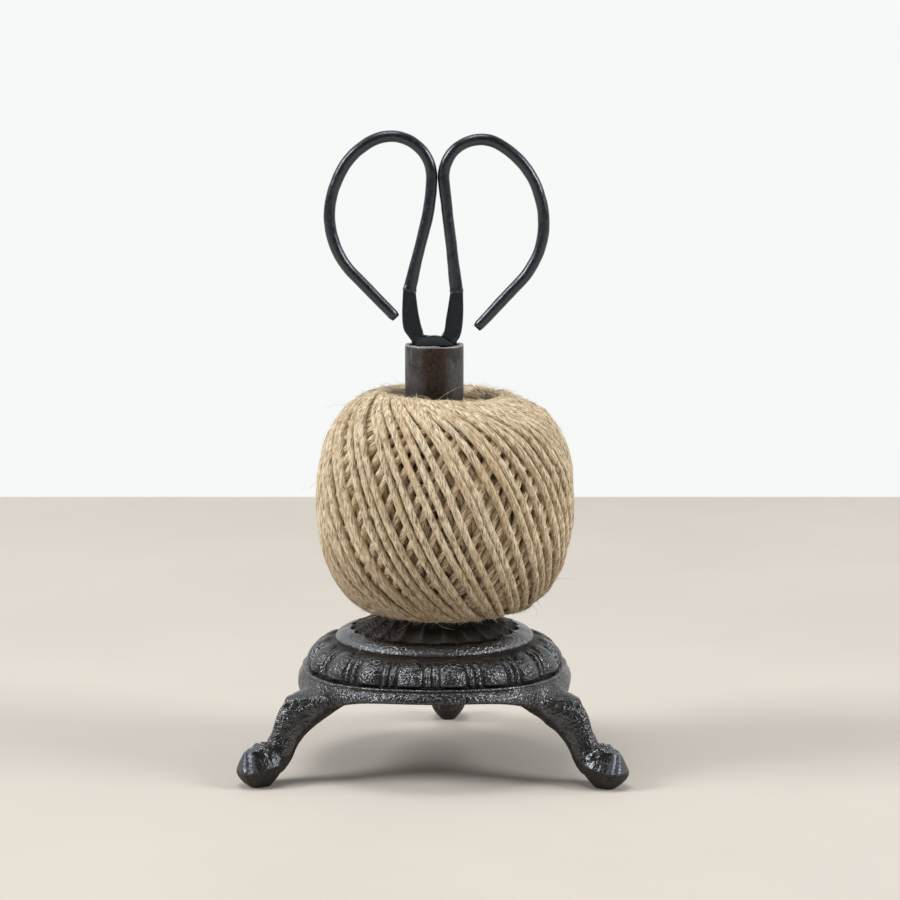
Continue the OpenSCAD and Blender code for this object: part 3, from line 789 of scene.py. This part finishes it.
def stand():
    obj = dome()
    for shape in (leg(), paw()):
        faces = tube_faces(*shape.shape[:2])
        combine("UNION", obj, *[make_object("leg", turned(shape, a) + AXIS, faces) for a in LEG_ANGLES])
    shell = bmesh.new()
    shell.from_mesh(obj.data)
    places = np.array([v.co for v in shell.verts]) / MM - AXIS
    reach = np.hypot(places[:, 0], places[:, 1])
    meet = within(reach, *BLEND_REACH) & within(places[:, 2], *BLEND_Z)
    shell.verts.ensure_lookup_table()
    blended = [shell.verts[i] for i in np.flatnonzero(meet)]
    for _ in range(BLEND_ROUNDS):
        bmesh.ops.smooth_vert(
            shell, verts=blended, factor=0.5, use_axis_x=True, use_axis_y=True, use_axis_z=True
        )
    shell.to_mesh(obj.data)
    shell.free()
    return obj


# Tube
TUBE_SIDES = 128
BORE_R = TUBE_R - 1.5
# Its rim: broken edges inwards and down, and depths below it
RIM_BREAK = (0.15, 0.25)
RIM_HOLD = 6
RIM_WAVY = (2.5, 0.2)
# Count to a turn, height and phase
RIM_WAVES = [(3, 0.16, 1), (7, 0.12, 0), (13, 0.07, 2)]
RIM_SUNK = 0.2


def tube():
    inwards, down = RIM_BREAK
    outline = softened([
        (TUBE_R, SOCKET_Z), (TUBE_R, RIM_Z - RIM_HOLD), (TUBE_R, RIM_Z - down), (TUBE_R - inwards, RIM_Z),
        (BORE_R + inwards, RIM_Z), (BORE_R, RIM_Z - down), (BORE_R, RIM_Z - RIM_HOLD), (BORE_R, SOCKET_Z),
    ])
    theta = circle_angles(TUBE_SIDES)
    wave = sum(rise * np.sin(count * theta + phase) for count, rise, phase in RIM_WAVES) - RIM_SUNK
    r, z = outline[:, :1], outline[:, 1:]
    near_rim = smoothstep(*(RIM_Z - depth for depth in RIM_WAVY), z)
    points = polar(r, theta, z + near_rim * wave)
    return make_object("tube", points + AXIS, grid_faces(len(outline), TUBE_SIDES, close_rows=True))


# Ball of twine: one strand wound in slanting loops, down over the outside and up under it
STRAND_R = 1.4
# Loops in each of the two windings, of which the second lies over the first
LOOPS = 54
WINDINGS = 2
LOOP_STEPS = 150
STRAND_SIDES = 10
LOOP_TILT = math.radians(46)
# How far a loop dips over the crown into the hole, as an angle round the ball's section
LOOP_DIP = math.radians(104)
CROWN_R = 24
HOLE_RADIUS = 14.5
OUTER_POWER = 0.96
INNER_POWER = 0.67
# Depth from one layer of strands to the next
LAYER = 2.0
# The mouth is trodden down on one side and stands up on the other, by angle round the ball's section
MOUTH_DIP = 1.0
MOUTH_LIFT = 0.3
DIP_TOWARDS = math.radians(-45)
DIP_ANGLES = (0.7, 1.5)
# The shoulder has sunk, more so on the right, by reach and by angle round the section
SHOULDER_SUNK = 1.9
SHOULDER_SLANT = 0.7
SHOULDER_R = 31
SHOULDER_W = 9
SHOULDER_ANGLES = (0, 0.5)
# The outside has moved to the right, by reach
MOVED_RIGHT = 0.7
MOVED_REACH = (22, 40)


def settled(u, turn, r):
    """How far the ball has settled downwards and to the right of a true round."""
    trodden = (0.5 + 0.5 * np.cos(turn - DIP_TOWARDS)) ** 2
    mouth = smoothstep(*DIP_ANGLES, u) * (MOUTH_DIP * trodden - MOUTH_LIFT * (1 - trodden))
    at_shoulder = np.exp(-(((r - SHOULDER_R) / SHOULDER_W) ** 2)) * smoothstep(*SHOULDER_ANGLES, u)
    shoulder = (SHOULDER_SUNK + SHOULDER_SLANT * np.cos(turn)) * at_shoulder
    return mouth + shoulder, MOVED_RIGHT * smoothstep(*MOVED_REACH, r)


def ball_section(u, inset):
    """Distance from the ball's axis and height above its middle at an angle round its section."""
    outside = np.cos(u) >= 0
    e = np.where(outside, OUTER_POWER, INNER_POWER)
    reach = np.where(outside, BALL_R - CROWN_R - STRAND_R - inset, CROWN_R - HOLE_RADIUS - STRAND_R)
    r = CROWN_R + reach * np.sign(np.cos(u)) * np.abs(np.cos(u)) ** e
    z = (BALL_HALF - STRAND_R - inset) * np.sign(np.sin(u)) * np.abs(np.sin(u)) ** e
    return r, z


# How the strand strays round the section, in depth and round the ball: amount, seed and rates per loop. Rates
# close to whole numbers keep neighbouring loops beside each other
STRAY_UP = (0.05, 5, (0.02, 1.03, 1.98))
STRAY_IN = (0.25, 6, (0.43, 1.21, 2.3))
STRAY_ROUND = [(0.05, 7, (0.03, 0.97, 2.04)), (0.024, 8, (0.37, 1.41, 2.7))]
# How its thickness strays, with rates per stretch
STRAY_THICK = (0.08, 9, (0.4, 1.1, 2.3, 4.1))
THICK_STRETCH = 40
PLIES = 2
PLY_RISE = 0.05
SUNK = 0.2
# Sine of a loop's phase up to which it crosses between layers
CROSSING = 0.35


def wander(t, amount, seed, rates):
    """A smooth random course along the strand, of about minus to plus the amount."""
    draw = np.random.default_rng(seed)
    return amount * (sum(np.sin(TAU * (rate * t + draw.uniform())) for rate in rates) / math.sqrt(len(rates)))


def strand_path():
    """The strand's middle line, about the ball's middle, and the outward direction along it."""
    t = np.arange(WINDINGS * LOOPS * LOOP_STEPS + 1) / LOOP_STEPS
    phase = TAU * t
    over = smoothstep(-CROSSING, CROSSING, np.sin(phase))
    under = smoothstep(LOOPS + 0.5, LOOPS - 0.5, t)
    u = LOOP_DIP * np.arctan(np.tan(LOOP_TILT) * np.cos(phase)) / LOOP_TILT
    u = u + wander(t, *STRAY_UP)
    inset = LAYER * (1 - over + 2 * under) + wander(t, *STRAY_IN) + SUNK
    turn = phase * (1 + 1 / LOOPS) + under * TAU / LOOPS / 2
    for stray in STRAY_ROUND:
        turn = turn + wander(t, *stray)
    r, z = ball_section(u, inset)
    down, right = settled(u, turn, r)
    path = polar(r, turn, z - down)
    path[:, 0] += right
    return path, path - polar(CROWN_R, turn, 0)


def map_strand(obj, run):
    """A map that runs round the strand in X and along it, in metres, in Y."""
    def numbers(items, key):
        found = np.empty(len(items), int)
        items.foreach_get(key, found)
        return found

    mesh = obj.data
    corner = numbers(mesh.loops, "vertex_index")
    first = numbers(mesh.polygons, "loop_start")
    sizes = numbers(mesh.polygons, "loop_total")
    side = corner % STRAND_SIDES
    ring = corner // STRAND_SIDES
    # Where a face crosses the seam, its first side counts as one past the last
    crosses = np.repeat(np.maximum.reduceat(side, first) == STRAND_SIDES - 1, sizes)
    around = side + np.where(crosses & (side == 0), STRAND_SIDES, 0)
    uv = np.stack([around / STRAND_SIDES, run[ring] * MM], -1)
    mesh.uv_layers.new(name=STRAND_MAP).uv.foreach_set("vector", uv.astype(np.float32).ravel())


def twine():
    path, outward = strand_path()
    run = runs(path)
    # The map's seam lies on the inner side
    a = circle_angles(STRAND_SIDES) + math.pi
    twist = run[:, None] / STRAND_PITCH * TAU
    plies = 1 + PLY_RISE * np.cos(PLIES * (a[None] - twist))
    thickness = 1 + wander(run / THICK_STRETCH, *STRAY_THICK)
    radius = STRAND_R * thickness[:, None] * plies
    section = np.stack([radius * np.cos(a), radius * np.sin(a)], -1)
    points = rings_round(path, outward, section) + BALL
    obj = make_object("twine", points, tube_faces(len(path), STRAND_SIDES))
    map_strand(obj, run)
    return obj, path + BALL, unit(outward)


HEART_SIDES = 180
HEART_STEPS = 96
HEART_LAYERS = 2.5
HEART_LUMPS = (4, 12, 0.3)


def heart():
    """What lies under the loops, seen through the gaps."""
    u = circle_angles(HEART_STEPS)
    r, z = ball_section(u, HEART_LAYERS * LAYER)
    theta = circle_angles(HEART_SIDES)
    radius = r[:, None] + 0 * theta
    down, right = settled(np.where(u > math.pi, u - TAU, u)[:, None], theta, radius)
    points = polar(radius, theta, z[:, None] - down)
    points[..., 0] += right
    points += unit(points) * lumps(points, *HEART_LUMPS)[..., None]
    return make_object("twine_heart", points + BALL, grid_faces(HEART_STEPS, HEART_SIDES, close_rows=True))


FIBRES = 9000
FIBRE_R = 0.07
FIBRE_RINGS = 8
FIBRE_SIDES = 3
# Shares of fibres that are curly or stand up; the others lie close. Rise, length and bend of each kind
FIBRE_SHARES = (0.014, 0.02)
FIBRE_KINDS = np.array([(0.8, 2.6, 1), (0.5, 1, 0.6), (0.14, 1, 0.6)])
RISES = (0.5, 1.3)
LENGTHS = (1.2, 3.8)
BENDS = (0.2, 1.2)
STARTS = (0.75, 0.98)
FIBRE_LEAN = 1.4
# How far they bend back, how much of a bend each ring takes, and their taper
BACK_FOR_RISE = 0.45
BACK_FOR_STEP = 0.2
BEND_SHARE = 0.4
FIBRE_TAPER = 0.6
# How far inside the crown they stop, and a loop's sine where it comes outside
FIBRES_IN = 3
OUTSIDE = 0.05


def fuzz(path, outward):
    """Loose fibres that lie over the strands and stand out from them."""
    draw = np.random.default_rng(11)
    along = unit(np.gradient(path, axis=0))
    t = np.arange(len(path)) / LOOP_STEPS
    off_mouth = (np.hypot(*(path - BALL)[:, :2].T) > CROWN_R - FIBRES_IN) | (path[:, 2] < BALL[2])
    shown = np.flatnonzero((np.sin(TAU * t) > OUTSIDE) & (t > LOOPS) & off_mouth)
    at = draw.choice(shown, FIBRES)
    out = outward[at]
    sideways = np.cross(along[at], out)
    lie = draw.uniform(0, TAU, (FIBRES, 1))
    flat = along[at] * np.cos(lie) * FIBRE_LEAN + sideways * np.sin(lie)
    kind = np.searchsorted(np.cumsum(FIBRE_SHARES), draw.uniform(size=FIBRES), side="right")
    rise, length, bend = FIBRE_KINDS[kind].T[..., None]
    rise = rise * draw.uniform(*RISES, (FIBRES, 1))
    heading = unit(unit(flat) + out * rise)
    step = length * draw.uniform(*LENGTHS, (FIBRES, 1)) / (FIBRE_RINGS - 1)
    curl = unit(draw.normal(size=(FIBRES, 3))) * draw.uniform(*BENDS, (FIBRES, 1)) * bend
    curl = curl - out * (rise * BACK_FOR_RISE + step * BACK_FOR_STEP)
    place = path[at] + out * STRAND_R * draw.uniform(*STARTS, (FIBRES, 1))
    rings = []
    for k in range(FIBRE_RINGS):
        side = unit(np.cross(heading, out + 0.01))
        other = np.cross(heading, side)
        radius = FIBRE_R * (1 - FIBRE_TAPER * k / (FIBRE_RINGS - 1))
        angles = circle_angles(FIBRE_SIDES)
        ring = [place + (side * math.cos(a) + other * math.sin(a)) * radius for a in angles]
        rings.append(np.stack(ring, 1))
        place = place + heading * step
        heading = unit(heading + curl * BEND_SHARE)
    points = np.stack(rings, 1).reshape(-1, 3)
    one = tube_faces(FIBRE_RINGS, FIBRE_SIDES)
    count = FIBRE_RINGS * FIBRE_SIDES
    faces = [[n * count + i for i in face] for n in range(FIBRES) for face in one]
    return make_object("twine_fuzz", points, faces)


# Scissors, in their own plane: x to the right, z up, from the pivot
BLADE_T = 1.5
LAP_GAP = 0.1
SHANK_T = 2 * BLADE_T + LAP_GAP
LAP_R = 9.0
LAP_HALF_W = BORE_R - 0.85
BLADE_L = 78
BLADE_W = 7.6
SEAM_W = 4.7
RIM_UP = RIM_Z - PIVOT[2]
EDGE_STEPS = 3
# In metres
MERGE = 1e-6

ROD_R = 2.1
ROD_TIP_R = 1.95
BOW_SIDES = 28
STRAIGHT_STEPS = 40
ARC_STEPS = 26
TAIL_STEPS = 17
# The weld: how far the bow reaches into the shank, how it flattens and thickens towards it, and its burr
WELD_SINK = 0.8
WELD_RUN = (15, 0.5)
WELD_T = 0.1
BURR_RISE = 0.2
BURR_HALF = 0.7
BURR_SPREAD = 0.8
BURRS = 3
# A rod's free end is drawn down and has a broken edge
TIP_RUN = 14
TIP_FACE = 0.82
# Lumps of a rod: size, what is added to the bow's seed, and height
ROD_LUMPS = [(9, 0, 0.07), (3.5, 50, 0.03)]
# Arcs are radius and sweep; slim is how much slimmer the shank is
LEFT_BOW = {
    "seam": (-9.0, 25.6), "lean": 14, "straight": 25, "tail": 22.3, "slim": 0, "seed": 21,
    "arcs": ((68, 14), (14.6, 118), (27, 33.5), (41, 9.6), (30, 63)),
}
RIGHT_BOW = {
    "seam": (-8.1, 25.0), "lean": 6.7, "straight": 40, "tail": 23.5, "slim": 1.1, "seed": 22,
    "arcs": ((13.4, 125), (30.3, 39), (38, 13), (30.5, 52.5)),
}


def bow_course(bow):
    """The rod's middle line as x and z, with its weld on the -X side."""
    place = np.array(bow["seam"])
    heading = -math.radians(bow["lean"])

    def ahead(run):
        return place + np.outer(run, (-math.sin(heading), math.cos(heading)))

    rows = [ahead(np.linspace(-WELD_SINK, bow["straight"], STRAIGHT_STEPS, endpoint=False))]
    place = ahead(bow["straight"])[0]
    for radius, sweep in bow["arcs"]:
        a = heading + math.radians(sweep) * np.arange(ARC_STEPS + 1) / ARC_STEPS
        arc = np.stack([np.cos(a), np.sin(a)], -1)
        arc = place + radius * (arc - arc[0])
        rows.append(arc[:-1])
        place = arc[-1]
        heading = a[-1]
    rows.append(ahead(np.linspace(0, bow["tail"], TAIL_STEPS)))
    return np.vstack(rows)


def make_bow(name, bow, side):
    """A bent rod, flattened at its weld and drawn down at its free end."""
    course = bow_course(bow)
    path = polar(course[:, 0] * side, 0, course[:, 1])
    run = runs(path)
    radius = ROD_R - (ROD_R - ROD_TIP_R) * smoothstep(run[-1] - TIP_RUN, run[-1], run)
    flat = smoothstep(*WELD_RUN, run)
    across = radius + (SEAM_W / 2 - ROD_R) * flat
    thick = radius + (SHANK_T / 2 + WELD_T - ROD_R) * flat
    a = circle_angles(BOW_SIDES)
    # Lumps are drawn over the rod laid out straight
    place = np.stack(np.broadcast_arrays(run[:, None], 3 * np.cos(a), 3 * np.sin(a)), -1)
    extra = sum(lumps(place, size, bow["seed"] + more, rise) for size, more, rise in ROD_LUMPS)
    at_weld = BURR_RISE * np.exp(-(((run - WELD_SINK) / BURR_HALF) ** 2))[:, None]
    extra = extra + at_weld * (1 + BURR_SPREAD * np.cos(BURRS * a + bow["seed"]))
    caps = np.ones((len(run), 1))
    caps[-1] = TIP_FACE
    up = (thick[:, None] + extra) * np.cos(a) * caps
    sideways = (across[:, None] + extra) * np.sin(a) * caps
    points = rings_round(path, np.array([0, -1, 0]), np.stack([up, sideways], -1)) + PIVOT
    return make_object(name, points, tube_faces(len(path), BOW_SIDES))


def plate(name, outline, y0, y1, edge):
    """An outline in the scissors' plane given thickness from y0 to y1, with its edges rounded."""
    data = bpy.data.curves.new(name, "CURVE")
    data.dimensions = "2D"
    data.fill_mode = "BOTH"
    data.extrude = ((y1 - y0) / 2 - edge) * MM
    data.bevel_depth = edge * MM
    data.bevel_resolution = EDGE_STEPS
    data.offset = -edge * MM
    spline = data.splines.new("POLY")
    spline.points.add(len(outline) - 1)
    for point, (x, z) in zip(spline.points, outline):
        point.co = (x * MM, z * MM, 0, 1)
    spline.use_cyclic_u = True
    curve = add_object(name, data)
    mesh = final_mesh(curve)
    bpy.data.objects.remove(curve)
    turn = Matrix.Rotation(math.pi / 2, 4, "X")
    middle = Vector(PIVOT + [0, (y0 + y1) / 2, 0]) * MM
    mesh.transform(Matrix.Translation(middle) @ turn)
    turn_outwards(mesh, MERGE)
    return add_object(name, mesh)


# Rows down a blade: depth as a share of its length, spine and cutting edge as shares of its width
BLADE_ROWS = [
    (0.06, -0.30, 0.74), (0.16, -0.34, 0.72), (0.35, -0.30, 0.62), (0.6, -0.26, 0.50),
    (0.8, -0.20, 0.36), (0.93, -0.12, 0.22), (1.0, -0.03, 0.06),
]
BLADE_STEPS = 6
SPINE_CUT = 0.25
# Shares of a blade's width or thickness
GRIND_START = 0.55
EDGE_LEFT = 0.12
TIP_LOST = 0.35
SPINE_LEFT = 0.75


def blade(name, side, y0):
    """A blade with a flat inner face and a ground outer one; y0 is its front face."""
    rows = curve_through(BLADE_ROWS, BLADE_STEPS)
    inner, outer = (y0 + BLADE_T, y0) if y0 < 0 else (y0, y0 + BLADE_T)
    points = []
    for share, spine, edge in rows:
        x0 = spine * BLADE_W
        x1 = edge * BLADE_W
        grind = x0 + (x1 - x0) * GRIND_START
        thin = inner + (outer - inner) * EDGE_LEFT
        back = inner + (outer - inner) * (1 - TIP_LOST * share)
        corner = inner + (back - inner) * SPINE_LEFT
        ring = [(x0, inner), (x1, inner), (x1, thin), (grind, back), (x0 + SPINE_CUT, back), (x0, corner)]
        points.append([(x * -side, y, -share * BLADE_L) for x, y in ring])
    obj = make_object(name, np.array(points) + PIVOT, tube_faces(len(rows), len(ring)))
    shade_smooth(obj.data, False)
    return obj


CIRCLE_SIDES = 96
SHANK_STEPS = 8
SHANK_EDGE = 0.75
LAP_EDGE = 0.25
LAP_ROOM = 0.3
SHANK_OUT = 0.9
# How the front shank runs over the lap's circle: its sides there, how far inside, and where it leaves
OVER_LAP = slice(5, 21)
OVER_LAP_IN = 0.05
LAP_LEFT = 0.42
LAP_OVER = 0.2
FLAT_FACING = 0.97


def make_half(name, bow, side, front):
    """One half of the scissors without its bow: shank, round lap and blade."""
    seam = np.array(bow["seam"])
    lean = math.radians(bow["lean"])
    across = np.array([math.cos(lean), -math.sin(lean)]) * SEAM_W / 2
    flank = TUBE_R + SHANK_OUT - bow["slim"]
    outer = curve_through([
        seam - across, (-flank - 0.1, RIM_UP + 11.5), (-flank + 0.35, RIM_UP + 5.6),
        (-BORE_R - 0.1, RIM_UP + 2.4), (-BORE_R + 0.9, RIM_UP + 0.9), (-BORE_R + 1.1, RIM_UP - 0.6),
        (-LAP_R / 2, RIM_UP / 2),
    ], SHANK_STEPS)
    inner = curve_through([
        (-LAP_R / 4, LAP_R - 0.6), (-LAP_R / 2 + 0.3 + bow["slim"] / 2, LAP_R + 2.0),
        (-LAP_R / 2 - 0.8 + bow["slim"], LAP_R + 6), (-LAP_R / 2 - 1.5 + bow["slim"], LAP_R + 10),
        seam + across,
    ], SHANK_STEPS)
    turn = circle_angles(CIRCLE_SIDES)
    circle = np.stack([np.cos(turn), np.sin(turn)], -1)
    outline = [outer, inner]
    if front:
        over_lap = circle[OVER_LAP] * (LAP_R - OVER_LAP_IN)
        over_lap = over_lap[over_lap[:, 0] < LAP_HALF_W]
        level = [(-LAP_R * LAP_LEFT, LAP_R + LAP_OVER)]
        outline = [outer, [(0, -1)], over_lap, level, inner[SHANK_STEPS:]]
    shank = plate(name, np.vstack(outline) * [side, 1], -SHANK_T / 2, SHANK_T / 2, SHANK_EDGE)
    y0 = -SHANK_T / 2 if front else LAP_GAP / 2
    # Room for the other half's lap
    far = -LAP_GAP / 2 if front else -SHANK_T
    room = plate(name + "_room", circle * (LAP_R + LAP_ROOM), far, far + SHANK_T + LAP_GAP / 2, 0)
    combine("DIFFERENCE", shank, room)
    disc = np.clip(circle * LAP_R, (-LAP_HALF_W, -LAP_R), (LAP_HALF_W, LAP_R))
    lap = plate(name + "_lap", disc, y0, y0 + BLADE_T, LAP_EDGE)
    combine("UNION", shank, lap, blade(name + "_edge", -side, y0))
    flat = [abs(face.normal.y) > FLAT_FACING for face in shank.data.polygons]
    shank.data.polygons.foreach_set("use_smooth", np.logical_not(flat))
    return shank


# Floor, light and background
FLOOR_FAR = 616
FLOOR_REACH = 3000
FLOOR_COLOUR = (0.63, 0.582, 0.525)
WALL_COLOUR = (0.93, 0.945, 0.935)
# Strength of the light from all round and from the front
AMBIENT = 0.42
AMBIENT_FRONT = 0.12
# How the light, and the wall in reflections, fall off towards the front, by Y of the direction
LIGHT_FALL = (-0.15, -0.85)
WALL_FALL = (0.6, -0.05)


def make_floor():
    left, right, near, far = -FLOOR_REACH, FLOOR_REACH, -FLOOR_REACH, FLOOR_FAR
    points = np.array([(left, near, 0), (right, near, 0), (right, far, 0), (left, far, 0)])
    points = turned(points, math.degrees(CAMERA_AZIMUTH))
    floor = make_object("floor", points, [[0, 1, 2, 3]])
    s = Shader("floor")
    broad = s.noise(160, detail=3)
    tone = s.mix(s.ramp(broad, 0.3, 0.7), FLOOR_COLOUR, tuple(c * 1.05 for c in FLOOR_COLOUR))
    s.set(Base_Color=tone, Roughness=0.75, Specular_IOR_Level=0.2)
    floor.data.materials.append(s.material)


def make_world():
    """A pale wall to the eye and in reflections; as light, a soft tent. Both are darker towards the front."""
    world = bpy.data.worlds.new("studio")
    bpy.context.scene.world = world
    n = Nodes(world)
    y = n.split(n.add("ShaderNodeTexCoord").outputs["Generated"])["Y"]
    rays = n.add("ShaderNodeLightPath").outputs
    mirrored = n.math("MAXIMUM", rays["Is Glossy Ray"], rays["Is Transmission Ray"])
    light = n.ramp(y, *LIGHT_FALL, AMBIENT, AMBIENT_FRONT)
    reflected = n.ramp(y, *WALL_FALL, 1, AMBIENT_FRONT)
    unseen = n.ramp(mirrored, 0, 1, light, reflected)
    background = n.tree.nodes["Background"].inputs
    n.feed(background["Color"], (*WALL_COLOUR, 1))
    n.feed(background["Strength"], n.ramp(rays["Is Camera Ray"], 0, 1, unseen, 1))


# Lamps: name, place, size and power in watts; each faces the object
LAMPS = [
    ("left", (-2000, -600, 1500), 900, 37),
    ("right", (2000, -600, 1300), 900, 30),
    ("top", (-300, -300, 2600), 1100, 24),
]


def make_lamps():
    target = Vector(AXIS + [0, 0, TARGET_HEIGHT]) * MM
    for name, place, size, power in LAMPS:
        data = bpy.data.lights.new(name, "AREA")
        data.size = size * MM
        data.energy = power
        lamp = add_object(name, data)
        lamp.location = Vector(place) * MM
        lamp.visible_camera = False
        lamp.rotation_euler = (target - lamp.location).to_track_quat("-Z", "Y").to_euler()


def finish(obj, material):
    obj.data.materials.clear()
    obj.data.materials.append(material)


def dress(obj, material, body, slot, *nodes):
    """Finishes a piece: its material, the body that carries it, and the nodes it stands for. Its slot is not
    used.
    """
    finish(obj, material)
    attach(obj, body)
    if nodes:
        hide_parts(*nodes)


def finish_nodes(material, *nodes):
    """A finish for nodes that stay as they are."""
    for node in nodes:
        finish(frame["nodes"][node], material)


def main():
    bpy.context.scene.view_settings.view_transform = "Standard"
    make_camera()
    make_floor()
    make_world()
    make_lamps()
    iron, steel, zinc = cast_iron(), tube_steel(), screw_steel()
    # The drawn rod of the bows is brighter than the forged halves
    blued, rod = blued_steel("blued_steel", 1.56), blued_steel("blued_rod", 1.8)
    dress(stand(), iron, "stand", "cast_iron", "base_casting")
    dress(tube(), steel, "stand", "tube_steel", "spindle_tube")
    ball, path, outward = twine()
    dress(ball, jute(), "twine_ball", "jute", "twine_winding")
    dress(heart(), jute_heart(), "twine_ball", "jute", "twine_core")
    dress(fuzz(path, outward), jute_fibre(), "twine_ball", "jute")
    left_half = make_half("left_half", LEFT_BOW, 1, front=True)
    right_half = make_half("right_half", RIGHT_BOW, -1, front=False)
    dress(left_half, blued, "left_half", "blued_steel", "scissors_left_blade")
    dress(right_half, blued, "right_half", "blued_steel", "scissors_right_blade")
    dress(make_bow("left_bow", LEFT_BOW, 1), rod, "left_half", "blued_steel", "scissors_left_bow")
    dress(make_bow("right_bow", RIGHT_BOW, -1), rod, "right_half", "blued_steel", "scissors_right_bow")
    finish_nodes(steel, "tube_plug", "scissors_washers")
    finish_nodes(zinc, "fixing_screw", "screw_washer")
    finish_nodes(blued, "scissors_rivet")


main()
